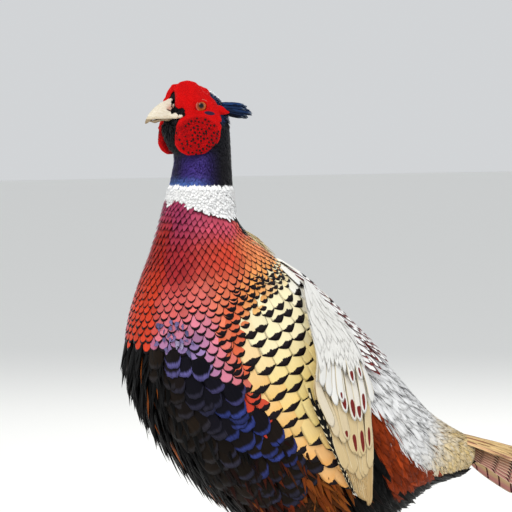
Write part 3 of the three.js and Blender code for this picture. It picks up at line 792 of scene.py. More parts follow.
def glossFinish(name, roughness=0.33, metal=0.55):
    # neck and crown: small close feathers with a metal gloss, their roots darkened by painted shade where the
    # feathers above cover them
    finish = Finish(name, roughness=roughness, gleam=0.2, Metallic=metal)
    across, v, chance = finish.vane()
    streaks = streaksOf(finish, across, v, chance, 4.0, 1.0)
    colour = shaded(finish, finish.paint("ground"), streaks, 0.6, 1.4)
    # painted shade: the root of each feather mixed towards edging, a darker copy of its ground
    finish.colour(finish.mixed(v.falls(0.3, 0.75) * 0.6, colour, finish.paint("edging")))
    finish.bump(streaks, 0.4, 0.0003)
    return finish


# Where the tracts end, by the share round the body from back to belly: station numbers.
borders = dict(
    neck=[(0.0, 12.5), (0.3, 12.54), (0.55, 12.74), (0.8, 12.86), (1.0, 12.76)],
    collar=[(0.0, 12.05), (0.26, 11.98), (0.42, 11.79), (0.56, 11.73), (0.78, 11.86), (0.91, 12.23),
            (0.96, 12.0), (1.0, 11.75)],
    breast=[(0.08, 9.55), (0.2, 9.45), (0.4, 9.6), (0.55, 9.45), (0.60, 8.9), (0.63, 7.6), (0.66, 5.8),
            (0.7, 5.6)],
    flankTop=[(0.06, 9.2), (0.2, 9.1), (0.35, 9.1), (0.5, 8.9), (0.57, 8.6), (0.60, 7.7), (0.63, 6.9)],
    dark=[(0.58, 5.6), (0.62, 6.9), (0.655, 7.75), (0.70, 8.15), (0.76, 8.5), (0.82, 8.75), (0.90, 8.95),
          (1.0, 8.9)],
)
# The mantle's and the wing's edges, by station: shares round the body.
mantleEdge = [(5.2, 0.10), (8.4, 0.08), (8.9, 0.10), (9.9, 0.115), (10.4, 0.13), (10.9, 0.18), (11.4, 0.25),
              (11.8, 0.30), (12.3, 0.32)]
wingEdge = [(3.6, 0.72), (4.6, 0.62), (5.3, 0.55), (5.9, 0.50), (6.6, 0.46), (7.1, 0.37), (7.5, 0.32),
            (7.9, 0.25), (8.2, 0.17), (8.4, 0.08), (9.6, 0.10)]


def breastColours(roots, chance):
    g, r = roots.station, roots.round
    high = blend(fromScreen(150, 50, 84), fromScreen(196, 78, 98), softStep(r, 0.86, 0.46))
    high = blend(high, fromScreen(214, 84, 66), softStep(r, 0.46, 0.30))
    middle = blend(fromScreen(150, 34, 40), fromScreen(196, 66, 46), softStep(r, 0.80, 0.50))
    middle = blend(middle, hues["tangerine"], softStep(r, 0.50, 0.30))
    low = blend(hues["flame"], fromScreen(222, 120, 86), softStep(r, 0.80, 0.64))
    low = blend(low, hues["amber"], softStep(r, 0.56, 0.34))
    low = blend(low, hues["butter"], softStep(r, 0.32, 0.20) * softStep(g, 9.6, 9.2))
    part = softStep(g, 11.7, 10.8)[:, None]
    colour = high * (1 - part) + middle * part
    part = softStep(g, 10.5, 9.4)[:, None]
    colour = colour * (1 - part) + low * part
    colour = blend(colour, fromScreen(150, 26, 12), softStep(r, 0.86, 0.94) * softStep(g, 12.0, 11.2))
    colour = blend(colour, fromScreen(190, 52, 20), softStep(r, 0.84, 0.92) * softStep(g, 10.8, 10.0))
    colour = blend(colour, fromScreen(206, 98, 96),
                   between(r, 0.66, 0.86, 0.06) * softStep(g, 10.3, 9.7) * 0.8)
    colour = blend(colour, hues["lilac"], between(r, 0.68, 0.84, 0.06) * softStep(g, 9.6, 9.1) * 0.8)
    colour = blend(colour, hues["heather"], between(r, 0.72, 0.88, 0.04) * softStep(g, 9.15, 8.8) * 0.85)
    return varied(chance, colour, 0.10)


def isDark(roots, chance):
    # below this line the breast turns to dark scallops and the black belly
    return roots.station < at(borders["dark"], roots.round) + roots.jitter(chance, 0.06)


breast = dict(
    around=46, spacing=[(9.2, 0.54), (10.0, 0.60), (10.8, 0.70), (11.8, 0.84)], first=12.4, last=5.6,
    length=2.5, halfWidth=0.62, lift=4.2, pointed=dict(shoulder=0.34, point=1.3, blunt=0.85),
    round=dict(shoulder=0.62, point=2.0, blunt=0.5),
    cut=dict(columns=7, rows=6, rise=0.35, camber=0.08, taper=0.7),
)


def layBreast(side):
    # the coat of scales in two halves, left and right
    chance = np.random.default_rng(11 if side < 0 else 12)
    roots = latticeOn(chart, breast)
    g, r = roots.station, roots.round
    mine = (g < at(borders["collar"], r) + 0.16) & (g > at(borders["breast"], r)) & (r > at(mantleEdge, g))
    mine &= (roots.left == (side < 0)) & ~isDark(roots, np.random.default_rng(13))
    roots = roots.kept(mine).moved(chance, 0.12)
    g, r = roots.station, roots.round
    crescent = 0.07 + softStep(g, 10.6, 9.4) * (0.05 + 0.10 * softStep(r, 0.62, 0.42))
    crescent = crescent * roots.drawn(chance, 0.8, 1.2)
    # the outline's dark colour, which the finish also paints over each scale's root as shade
    edging = blend(hues["plum"], hues["ink"], softStep(g, 10.5, 9.4))
    pointed = softStep(g, 9.5, 10.7)
    cut = dict(breast["cut"])
    for key, low in breast["round"].items():
        cut[key] = low + (breast["pointed"][key] - low) * pointed
    sizes = dict(length=roots.room * breast["length"], width=roots.room * breast["halfWidth"],
                 lift=breast["lift"] * mm, yaw=roots.jitter(chance, 0.03),
                 sink=-0.3 * mm, hang=0.12)
    name = "breastFeathers_" + sideName(side)
    layCoat(name, roots, cut, sizes, dict(ground=breastColours(roots, chance), edging=edging),
            dict(chance=roots.drawn(chance), tipMark=crescent), breast["finish"])


flank = dict(
    around=30, spacing=0.74, first=9.9, last=4.4, length=35.0, halfWidth=0.58, lift=4.4, nearWingLift=3.5,
    markDepth=0.24, markWidth=1.0, hang=0.3, stagger=0.67,
    cut=dict(columns=9, rows=8, shoulder=0.86, point=1.35, blunt=1.0, rise=0.22, camber=0.04, taper=0.7),
)
shoulderScales = dict(
    around=50, spacing=0.66, first=10.5, last=5.7, length=2.2, halfWidth=0.62, lift=4.4, markDepth=0.22,
    markWidth=1.1, hang=0.2, side=[(5.7, 0.61), (6.2, 0.645), (7.0, 0.645), (7.6, 0.63), (8.9, 0.63)],
    cut=dict(columns=7, rows=6, shoulder=0.74, point=1.8, blunt=0.7, rise=0.4, camber=0.08, taper=0.6),
)


def layShoulderScales():
    # between the scales and the gold flank: larger scales with deep black crescents
    chance = np.random.default_rng(16)
    part = shoulderScales
    roots = latticeOn(chart, part)
    g, r = roots.station, roots.round
    mine = (g < at(borders["breast"], r) + 0.25) & (g > at(borders["flankTop"], r)) & (r > at(mantleEdge, g))
    beside = (np.abs(r - at(part["side"], g)) < 0.022) & (g < 8.9)
    roots = roots.kept((mine & (r < 0.645)) | beside).moved(chance, 0.2)
    g, r = roots.station, roots.round
    ground = blend(fromScreen(212, 100, 66), fromScreen(232, 160, 88), softStep(r, 0.58, 0.42))
    ground = blend(ground, hues["butter"], softStep(r, 0.42, 0.28))
    ground = blend(ground, hues["gold"], softStep(g, 9.4, 8.9) * softStep(r, 0.56, 0.46) * 0.6)
    ground = blend(ground, fromScreen(196, 58, 40), softStep(g, 8.2, 7.0) * softStep(r, 0.59, 0.63))
    sizes = dict(length=roots.room * part["length"], width=roots.room * part["halfWidth"],
                 lift=part["lift"] * mm, sink=-0.3 * mm,
                 yaw=roots.jitter(chance, 0.05), hang=part["hang"])
    depth = part["markDepth"] * softStep(r, 0.10, 0.30) * (0.65 + 0.35 * softStep(g, 9.9, 9.2)) + 0.04
    layCoat("shoulderScales", roots, part["cut"], sizes,
            dict(ground=varied(chance, ground, 0.07), edging=blend(ground, hues["flame"], 0.3),
                 mark=hues["ink"]),
            dict(chance=roots.drawn(chance), tipMark=depth * roots.drawn(chance, 0.85, 1.15),
                 markWidth=part["markWidth"]), flank["finish"])


def layFlank():
    chance = np.random.default_rng(21)
    roots = latticeOn(chart, flank)
    g, r = roots.station, roots.round
    inner = at([(4.4, 0.60), (5.6, 0.61), (6.2, 0.635), (7.2, 0.62), (9.2, 0.58)], g)
    mine = (r > at(wingEdge, g) - 0.03) & (r < inner) & (g < at(borders["flankTop"], r) + 0.35)
    roots = roots.kept(mine).moved(chance, 0.15)
    g, r = roots.station, roots.round
    colour = blend(hues["gold"], hues["butter"], softStep(g, 7.4, 8.6) + softStep(r, 0.38, 0.24))
    colour = blend(colour, hues["amber"], softStep(r, 0.50, 0.60) * 0.7 + softStep(g, 6.4, 5.6) * 0.6)
    colour = blend(colour, hues["white"], softStep(r, 0.30, 0.18) * softStep(g, 8.0, 8.6))
    low = softStep(g, 6.4, 5.8)
    nearWing = softStep(r - at(wingEdge, g), 0.12, 0.0)
    cut = dict(flank["cut"], shoulder=flank["cut"]["shoulder"] - 0.16 * low,
               point=flank["cut"]["point"] + 0.7 * low, blunt=flank["cut"]["blunt"] - 0.4 * low)
    sizes = dict(length=flank["length"] * mm, width=roots.room * flank["halfWidth"],
                 lift=(flank["lift"] + nearWing * flank["nearWingLift"]) * mm, sink=-0.3 * mm,
                 yaw=roots.jitter(chance, 0.04), hang=flank["hang"])
    layCoat("flankFeathers", roots, cut, sizes,
            dict(ground=varied(chance, colour, 0.05), edging=blend(colour, hues["butter"], 0.5),
                 mark=hues["ink"]),
            dict(chance=roots.drawn(chance), tipMark=flank["markDepth"] * roots.drawn(chance, 0.9, 1.1),
                 markWidth=flank["markWidth"]), flank["finish"])


scallops = dict(
    around=36, spacing=0.56, first=9.6, last=5.4, length=2.1, halfWidth=0.60, lift=5.0, rim=0.15,
    cut=dict(columns=8, rows=7, shoulder=0.70, point=2.0, blunt=0.55, rise=0.5, camber=0.12, ragged=0.03,
             taper=0.6),
)


def layScallops():
    chance = np.random.default_rng(31)
    roots = latticeOn(chart, scallops)
    dark = isDark(roots, np.random.default_rng(14))
    roots = roots.kept((roots.round > 0.63) & (roots.round < 0.90) & dark).moved(chance, 0.8)
    g, r = roots.station, roots.round
    ground = blend(hues["navy"], hues["soot"], softStep(g, 7.2, 6.4) + softStep(r, 0.78, 0.86))
    blue = between(r, 0.62, 0.75, 0.03) * between(g, 6.2, 7.5, 0.2) + 0.12 * softStep(r, 0.86, 0.80)
    edging = blend(fromScreen(36, 33, 34), fromScreen(48, 60, 128), blue * roots.drawn(chance, 0.5, 1.0))
    line = at(borders["dark"], r)
    upper = softStep(g, line - 0.5, line - 0.2) * between(r, 0.68, 0.84, 0.03)
    edging = blend(edging, fromScreen(96, 90, 150), upper * 0.7)
    sizes = dict(length=roots.room * scallops["length"], width=roots.room * scallops["halfWidth"],
                 lift=roots.drawn(chance, 0.9, 1.2) * scallops["lift"] * mm, sink=-0.3 * mm,
                 yaw=roots.jitter(chance, 0.08), roll=roots.jitter(chance, 0.05),
                 hang=0.2)
    layCoat("scallopFeathers", roots, scallops["cut"], sizes,
            dict(ground=varied(chance, ground, 0.15), edging=varied(chance, edging, 0.15)),
            dict(chance=roots.drawn(chance),
                 tipMark=scallops["rim"] * roots.drawn(chance, 0.8, 1.4)), rimFinish())


ruffle = dict(around=100, spacing=0.7, first=9.5, last=8.3,
              cut=dict(columns=5, rows=7, shoulder=0.6, ragged=0.15, camber=0.2))


def layRuffle():
    # a ruffled lilac and slate patch where the scales meet the dark breast
    chance = np.random.default_rng(36)
    roots = latticeOn(chart, ruffle)
    near = np.abs(roots.station - at(borders["dark"], roots.round) - 0.16) < 0.26
    roots = roots.kept(near & roots.left & (roots.round > 0.765) & (roots.round < 0.87)).moved(chance, 1.2)
    ground = blend(fromScreen(70, 72, 104), fromScreen(120, 104, 150), roots.drawn(chance))
    ground = blend(ground, fromScreen(150, 140, 168), (roots.drawn(chance) < 0.12) * 0.8)
    sizes = dict(length=roots.drawn(chance, 8, 13) * mm, width=roots.drawn(chance, 1.2, 2.2) * mm,
                 lift=roots.drawn(chance, 5.0, 7.5) * mm, yaw=chance.normal(0.35, 0.35, roots.count),
                 roll=roots.jitter(chance, 0.25))
    layCoat("ruffledPatch", roots, ruffle["cut"], sizes, dict(ground=ground, edging=ground * 1.2),
            dict(chance=roots.drawn(chance), tick=0), strandFinish("ruffled", 0.5))


belly = dict(around=60, spacing=0.62, first=9.0, last=1.4, length=(26, 42), halfWidth=(2.2, 3.8), lift=(4, 7))


def layBelly():
    # long loose black feathers over the belly and behind the thighs, some edged with brown, and some in front
    # with grey tips of painted sheen
    chance = np.random.default_rng(41)
    roots = latticeOn(chart, belly)
    g, r = roots.station, roots.round
    front = (r > 0.84) & isDark(roots, np.random.default_rng(15))
    under = (r > at([(1.4, 0.62), (2.6, 0.62), (4.0, 0.58), (6.0, 0.60), (7.0, 0.72)], g)) & (g < 6.6)
    roots = roots.kept(front | under).moved(chance, 1.2)
    g, r = roots.station, roots.round
    ground = varied(chance, plain(roots, hues["coal"]), 0.3)
    brown = softStep(g, 6.6, 5.2) * softStep(r, 0.98, 0.70) * softStep(g, 4.2, 4.9)
    ground = blend(ground, hues["rust"], brown * roots.drawn(chance, 0.0, 0.7))
    golden = softStep(g, 6.2, 5.0) * between(r, 0.58, 0.70, 0.05) * softStep(g, 4.3, 5.0)
    ground = blend(ground, fromScreen(150, 82, 26), golden * roots.drawn(chance, 0.2, 0.9))
    warm = (roots.drawn(chance) < 0.025) & (r > 0.84)
    ground = np.where(warm[:, None], np.array(fromScreen(132, 66, 20)), ground)
    # grey tips on some front feathers: painted sheen, the light glinting on the black
    edging = blend(ground, fromScreen(40, 40, 42), roots.drawn(chance, 0.0, 0.5) * (r > 0.8))
    edge = softStep(r, 0.90, 0.97) * softStep(g, 5.5, 6.5)
    sizes = dict(length=roots.drawn(chance, *belly["length"]) * mm * (1 + 0.15 * edge),
                 width=roots.drawn(chance, *belly["halfWidth"]) * mm,
                 lift=roots.drawn(chance, *belly["lift"]) * mm, yaw=roots.jitter(chance, 0.16),
                 roll=roots.jitter(chance, 0.25), hang=0.45,
                 loose=roots.drawn(chance, 0.1, 0.8) * softStep(g, 2.2, 3.4) * (0.6 + 0.4 * edge))
    cut = dict(columns=5, rows=7, shoulder=0.30, point=1.2, blunt=0.9, camber=0.3, ragged=0.06, taper=0.5)
    layCoat("bellyFeathers", roots, cut, sizes, dict(ground=ground, edging=edging),
            dict(chance=roots.drawn(chance), tick=0),
            strandFinish("blackBelly", 0.4))


mantle = dict(
    around=96, spacing=1.6, first=12.3, last=8.2, length=19.0, halfWidth=1.7, lift=3.6, crest=(3.0, 4.0),
    cut=dict(columns=5, rows=7, shoulder=0.5, point=1.3, blunt=0.9, rise=0.5, camber=0.2, taper=0.6),
)
backTicks = dict(
    around=70, spacing=0.62, first=7.8, last=3.4, length=15.0, halfWidth=2.6, lift=3.4,
    cut=dict(columns=5, rows=6, shoulder=0.5, point=1.5, blunt=0.8, rise=0.5, camber=0.1, taper=0.6),
)


def layMantle():
    # the strip down the hind neck: long narrow cream feathers with fine black edges
    chance = np.random.default_rng(51)
    roots = latticeOn(chart, mantle)
    roots = roots.kept(roots.round < at(mantleEdge, roots.station) + 0.02).moved(chance, 0.8)
    g, r = roots.station, roots.round
    ground = blend(hues["butter"], fromScreen(244, 218, 160), softStep(g, 9.6, 10.6) * 0.6)
    ground = blend(ground, hues["white"], softStep(g, 9.6, 8.9))
    ground = blend(ground, hues["coal"], softStep(g, 11.72, 11.9) * softStep(r, 0.10, 0.16))
    edging = blend(fromScreen(240, 218, 168), hues["white"], softStep(g, 9.6, 8.9) * 0.8)
    edging = blend(edging, hues["coal"], softStep(g, 11.72, 11.9))
    crest = between(g, 10.1, 11.5, 0.6) * softStep(r, 0.16, 0.03)
    sizes = dict(length=mantle["length"] * mm, width=mantle["halfWidth"] * mm,
                 lift=(mantle["lift"] + crest * mantle["crest"][1]) * mm,
                 sink=crest * mantle["crest"][0] * mm, yaw=roots.jitter(chance, 0.05),
                 roll=roots.jitter(chance, 0.05))
    inset = 0.72 + (roots.drawn(chance) < 0.7) * 0.6 + 0.4 * softStep(g, 9.4, 8.8)
    layCoat("mantleFeathers", roots, mantle["cut"], sizes,
            dict(ground=varied(chance, ground, 0.05), edging=edging, mark=hues["ink"]),
            dict(chance=roots.drawn(chance), tipMark=inset), shaftFinish("mantle"))


def layBackTicks():
    # the middle of the back: white with rows of short black ticks
    chance = np.random.default_rng(56)
    part = backTicks
    roots = latticeOn(chart, part)
    limit = at([(3.4, 0.05), (4.5, 0.09), (6.0, 0.11), (7.8, 0.10)], roots.station)
    roots = roots.kept(roots.round < limit).moved(chance, 0.4)
    sizes = dict(length=part["length"] * mm, width=part["halfWidth"] * mm,
                 lift=part["lift"] * mm, yaw=roots.jitter(chance, 0.06))
    ground = varied(chance, plain(roots, hues["white"]), 0.03)
    layCoat("backFeathers", roots, part["cut"], sizes, dict(ground=ground, edging=ground, mark=hues["coal"]),
            dict(chance=roots.drawn(chance), tipMark=roots.drawn(chance, 0.06, 0.16),
                 markWidth=roots.drawn(chance, 0.3, 0.55)), flank["finish"])


rump = dict(
    around=92, spacing=0.30, first=6.4, last=0.7, length=(18, 28), halfWidth=(0.8, 1.3), lift=(2.8, 4.4),
    under=dict(around=40, spacing=0.5, length=26.0, halfWidth=6.0, lift=2.2),
    cut=dict(columns=3, rows=5, shoulder=0.3, point=1.1, blunt=0.9, camber=0.35, taper=0.6),
)


def rumpColours(roots, chance):
    # ash white over the back, buff towards the tail, and the rust patch at the side
    g, r = roots.station, roots.round
    rustLine = at([(1.2, 0.66), (2.2, 0.53), (3.0, 0.45), (4.0, 0.385), (4.6, 0.36), (5.2, 0.34),
                   (5.8, 0.34)], g)
    rustLine = rustLine + roots.jitter(chance, 0.014)
    ground = varied(chance, plain(roots, hues["ash"]), 0.06)
    ground = blend(ground, hues["straw"], softStep(g + r * 0.8, 4.0, 2.5) * roots.drawn(chance, 0.6, 1))
    rusty = (r > rustLine) & (g > 2.1 - (r - 0.5))
    ground[rusty] = varied(chance, plain(roots, hues["rust"]), 0.22)[rusty]
    blackLine = at([(2.0, 0.86), (2.8, 0.76), (3.4, 0.63), (3.9, 0.53), (4.4, 0.475), (5.2, 0.43),
                    (6.0, 0.41)], g)
    black = (r > blackLine) & (g > 2.4)
    ground[black] = varied(chance, plain(roots, hues["coal"]), 0.3)[black]
    return ground, rusty | black


def rumpShare(roots):
    limit = at([(0.7, 1.0), (1.6, 1.0), (2.2, 0.80), (3.0, 0.72), (4.5, 0.62), (5.4, 0.54), (6.4, 0.3)],
               roots.station)
    return roots.kept(roots.round < limit)


def layRump():
    chance = np.random.default_rng(61)
    base = rump["under"]
    roots = rumpShare(latticeOn(chart, dict(rump, **base))).moved(chance, 0.8)
    ground, coloured = rumpColours(roots, chance)
    sizes = dict(length=base["length"] * mm, width=base["halfWidth"] * mm,
                 lift=base["lift"] * mm, yaw=roots.jitter(chance, 0.05),
                 hang=0.5 * softStep(roots.round, 0.1, 0.4) * softStep(roots.station, 0.9, 2.0))
    finish = strandFinish("hairRump", 0.6, 0.80, 1.2)
    layCoat("rumpUnder", roots, dict(rump["cut"], columns=7, ragged=0.10), sizes,
            dict(ground=ground, edging=ground), dict(chance=roots.drawn(chance), tick=0), finish)
    roots = rumpShare(latticeOn(chart, rump)).moved(chance, 1.5)
    g, r = roots.station, roots.round
    ground, coloured = rumpColours(roots, chance)
    chosen = roots.drawn(chance)
    brown = (chosen > 0.88) & (g + r * 0.8 < 3.6) & ~coloured
    ground[brown] = np.array(fromScreen(134, 100, 66))
    ground[(chosen > 0.94) & ~coloured & ~brown] = np.array(fromScreen(88, 86, 92))
    sizes = dict(length=roots.drawn(chance, *rump["length"]) * mm,
                 width=roots.drawn(chance, *rump["halfWidth"]) * mm,
                 lift=roots.drawn(chance, *rump["lift"]) * mm, yaw=roots.jitter(chance, 0.07),
                 hang=0.5 * softStep(r, 0.1, 0.4) * softStep(g, 0.9, 2.0), roll=roots.jitter(chance, 0.2))
    layCoat("rumpFeathers", roots, rump["cut"], sizes, dict(ground=ground, edging=ground * 0.95),
            dict(chance=roots.drawn(chance), tick=((chosen < 0.34) & ~coloured) * 0.9),
            finish)


collar = dict(
    around=70, spacing=0.8, first=13.3, last=11.8, length=4.6, halfWidth=0.85, lift=(4.0, 4.1),
    cut=dict(columns=5, rows=6, shoulder=0.50, rise=0.75, camber=0.02, ragged=0.08),
)
neck = dict(
    around=96, spacing=0.66, first=14.95, last=12.4, length=3.4, halfWidth=0.66, lift=(2.3, 2.8),
    cut=dict(columns=5, rows=5, shoulder=0.40, point=1.4, blunt=0.9, rise=0.35, camber=0.06, ragged=0.05),
)


def layCollar():
    chance = np.random.default_rng(71)
    roots = latticeOn(chart, collar)
    roots = roots.kept(roots.station > at(borders["collar"], roots.round) + 0.46).moved(chance, 0.3)
    sizes = dict(length=roots.room * collar["length"], width=roots.room * collar["halfWidth"],
                 lift=roots.drawn(chance, *collar["lift"]) * mm, yaw=roots.jitter(chance, 0.05),
                 sink=-0.4 * mm)
    ground = plain(roots, fromScreen(250, 250, 250))
    layCoat("collarFeathers", roots, collar["cut"], sizes, dict(ground=ground, edging=ground),
            dict(chance=roots.drawn(chance), tick=0),
            strandFinish("whiteCollar", 0.7, 0.96, 1.04))


def neckColours(roots):
    # dark violet in front with a brighter violet band of painted sheen, where the gloss catches the light;
    # teal over the collar, green-black behind and up under the cheeks
    g, r = roots.station, roots.round
    # the brighter violet band is painted sheen on the neck's own dark violet
    ground = blend(fromScreen(30, 22, 58), fromScreen(58, 42, 118), between(r, 0.70, 0.80, 0.2))
    ground = blend(ground, fromScreen(84, 122, 196), softStep(g, 13.9, 13.0) * softStep(r, 0.50, 0.80))
    ground = blend(ground, fromScreen(16, 14, 22), softStep(r, 0.56, 0.42))
    ground = blend(ground, fromScreen(12, 11, 20), softStep(g, 14.2, 14.8))
    return ground


def layNeck():
    chance = np.random.default_rng(81)
    roots = latticeOn(chart, neck).moved(chance, 0.5)
    roots = roots.kept(roots.station > at(borders["neck"], roots.round))
    ground = neckColours(roots)
    sizes = dict(length=roots.room * neck["length"] * roots.drawn(chance, 0.6, 1.35),
                 width=roots.room * neck["halfWidth"], lift=roots.drawn(chance, *neck["lift"]) * mm,
                 yaw=roots.jitter(chance, 0.06), roll=roots.jitter(chance, 0.04))
    # edging is the ground at half its brightness: the painted shade at each feather's root
    layCoat("neckFeathers", roots, neck["cut"], sizes,
            dict(ground=varied(chance, ground, 0.12), edging=ground * 0.5), dict(chance=roots.drawn(chance)),
            glossFinish("neckGloss", 0.45, 0.35))


def layBody():
    breast["finish"] = scaleFinish()
    flank["finish"] = rhombFinish()
    layBreast(-1)
    layBreast(1)
    layShoulderScales()
    layFlank()
    layScallops()
    layRuffle()
    layBelly()
    layMantle()
    layBackTicks()
    layRump()
    layCollar()
    layNeck()


# The folded wing: the edges of what shows, from the tip up to the shoulder, in mm (x, z), front and rear. Up
# at the shoulder it sinks into the body's own surface. Spots: share across the wing, height, half length,
# half width.
wing = dict(
    front=[(32, 143), (17, 166), (2, 188), (-14, 214), (-27, 240), (-37, 266), (-34, 290), (-31, 314),
           (-28, 338), (-19, 357)],
    rear=[(43, 141), (37, 158), (29, 180), (26, 206), (25, 232), (25, 258), (20, 283), (16, 310), (-6, 335),
          (-12, 354)],
    rings=90, turns=61, firstShare=-0.4, shareSpan=1.8, bodyFrom=5.9, bodyBy=7.3, bodyLift=2.0,
    spots=[(0.59, 272, 5.5, 2.0), (0.78, 274, 5.0, 1.4), (0.38, 258, 3.5, 1.2), (0.43, 252, 6.0, 2.5),
           (0.56, 249, 9.5, 2.3), (0.67, 246, 6.5, 2.3), (0.81, 255, 8.5, 1.9), (0.36, 224, 4.0, 1.6),
           (0.54, 218, 9.5, 2.2), (0.72, 221, 11.5, 2.2), (0.88, 226, 10.0, 1.5)],
    plainTips=[(0.06, 262), (0.18, 255), (0.29, 248), (0.95, 250), (0.05, 226), (0.15, 218), (0.26, 212),
               (0.45, 205), (0.63, 203), (0.10, 186), (0.24, 182), (0.38, 186), (0.52, 180), (0.66, 184),
               (0.80, 188), (0.93, 196)],
    coverLength=42.0, coverHalfWidth=4.1,
)


def wingChart(side):
    name = sideName(side)
    whole = treeOfNodes(["torso", "rump", "wing_" + name])
    body = treeOfNodes(["torso", "rump"])
    fronts = smoothCurve(wing["front"], wing["rings"])
    rears = smoothCurve(wing["rear"], wing["rings"])
    shares = np.linspace(wing["firstShare"], wing["firstShare"] + wing["shareSpan"], wing["turns"])
    flat = fronts[:, None] + (rears - fronts)[:, None] * shares[None, :, None]
    depths = []
    for tree in (whole, body):
        depth = np.full(flat.shape[:2], np.nan)
        for row, line in enumerate(flat):
            for column, (x, z) in enumerate(line):
                start = Vector((x * mm + cadShift, side * 0.3, z * mm))
                place = tree.ray_cast(start, Vector((0, -side, 0)), 0.3)[0]
                if place is not None:
                    depth[row, column] = place.y
        numbers = np.arange(wing["turns"])
        for line in depth:
            found = ~np.isnan(line)
            line[~found] = np.interp(numbers[~found], numbers[found], line[found])
        depths.append(depth)
    stations = np.linspace(0, len(wing["front"]) - 1, wing["rings"])[:, None]
    sunk = softStep(stations, wing["bodyFrom"], wing["bodyBy"])
    depth = depths[0] * (1 - sunk) + (depths[1] + side * wing["bodyLift"] * mm) * sunk
    for _ in range(10):
        depth[:, 1:-1] = 0.5 * depth[:, 1:-1] + 0.25 * (depth[:, 2:] + depth[:, :-2])
        depth[1:-1] = 0.5 * depth[1:-1] + 0.25 * (depth[2:] + depth[:-2])
    grid = np.stack([flat[..., 0] * mm + cadShift, depth, flat[..., 1] * mm], axis=2)
    return Chart(grid, len(wing["front"]), (0, side, 0))


def wingRoots(chart, stations, shares, room):
    ring = np.array(stations) / (chart.marks - 1) * (chart.rings - 1)
    turn = (np.array(shares) - wing["firstShare"]) / wing["shareSpan"] * (chart.turns - 1)
    return Roots(chart, ring, turn, np.full(len(ring), float(room)))


def stationOf(height):
    # the wing's station at a height over the floor in mm
    middles = [(a[1] + b[1]) / 2 for a, b in zip(wing["front"], wing["rear"])]
    return np.interp(height, middles, np.arange(len(middles)))


def wingRows(chart, first, last, spacing, room):
    # staggered rows across the wing from the shoulder down
    stations, shares = [], []
    station, number = first, 0
    low, wide = wing["firstShare"], wing["shareSpan"]
    while station > last:
        ring = np.array([station / (chart.marks - 1) * (chart.rings - 1)])
        front, rear = (chart.look(chart.grid, ring, np.array([(s - low) / wide * (chart.turns - 1)]))[0]
                       for s in (0, 1))
        columns = max(3, round(np.linalg.norm(rear - front) / (room * mm)))
        for k in range(columns + number % 2):
            stations.append(station)
            shares.append((k + 0.5 - 0.5 * (number % 2)) / columns)
        station -= spacing / 24.0
        number += 1
    return wingRoots(chart, stations, np.clip(shares, 0.0, 1.0), room * mm)


def coverFinish():
    # wing feathers: fine streaks, pale margins, thin brown lines lower down and a maroon drop near some tips
    finish = Finish("wingCoverts", roughness=0.55)
    across, v, chance = finish.vane()
    streaks = streaksOf(finish, across, v, chance, 11.0, 0.9)
    colour = shaded(finish, finish.paint("ground"), streaks, 0.86, 1.12)
    colour = finish.mixed((abs(across) + (streaks - 0.5) * 0.2).rises(0.70, 0.9) * 0.8, colour,
                          finish.paint("edging"))
    shaft = abs(across + (streaks - 0.5) * 0.5).falls(0.03, 0.10)
    lines = shaft + (abs(across) - 0.94 + streaks * 0.04).rises(0.0, 0.03)
    colour = finish.mixed(lines * finish.trait("lineMark") * v.rises(0.1, 0.3), colour, finish.paint("mark"))
    along = (v - finish.trait("spotAt")) / finish.trait("spotLong")
    aside = (across + (streaks - 0.5) * 0.2) / finish.trait("spotWide")
    taper = along * 0.35 + 1.0
    drop = (along * along + aside * aside * taper).falls(0.80, 1.05) * finish.trait("spot")
    finish.colour(finish.mixed(drop, colour, finish.paint("mark")))
    finish.bump(streaks + abs(across).falls(0.02, 0.10) * 0.3, 0.25, 0.0003)
    return finish


def edgeFinish():
    # outer webs of the primaries: black with cream notches
    finish = Finish("primaryEdge", roughness=0.5)
    across, v, chance = finish.vane()
    streaks = streaksOf(finish, across, v, chance, 5.0, 3.0)
    outer = (across * finish.trait("notched")).rises(-0.1, 0.3)
    notch = (v * 80.0 + chance * 6.0).wave().rises(0.3, 0.75) * outer
    colour = finish.mixed(notch, finish.paint("ground"), finish.paint("edging"))
    finish.colour(shaded(finish, colour, streaks, 0.6, 1.4))
    finish.bump(streaks, 0.3, 0.0004)
    return finish


def wingGround(roots, chance, heights):
    pale = plain(roots, fromScreen(226, 225, 221))
    ground = blend(pale, fromScreen(208, 186, 142), softStep(heights, 250, 205))
    ground = blend(ground, fromScreen(186, 152, 100), softStep(heights, 200, 150) * 0.9)
    return varied(chance, ground, 0.025)


def coverTraits(roots, chance, lineMark, spots=None):
    # what the wing's finish asks of each feather
    traits = dict(chance=roots.drawn(chance), lineMark=lineMark, spot=0,
                  spotAt=0.7, spotLong=0.2, spotWide=0.5)
    if spots is not None:
        length = wing["coverLength"]
        traits.update(spot=(spots[:, 2] > 0) * 1.0, spotAt=1 - (spots[:, 2] + 3.5) / length,
                      spotLong=np.maximum(spots[:, 2], 1.0) / length,
                      spotWide=spots[:, 3] / wing["coverHalfWidth"])
    return traits


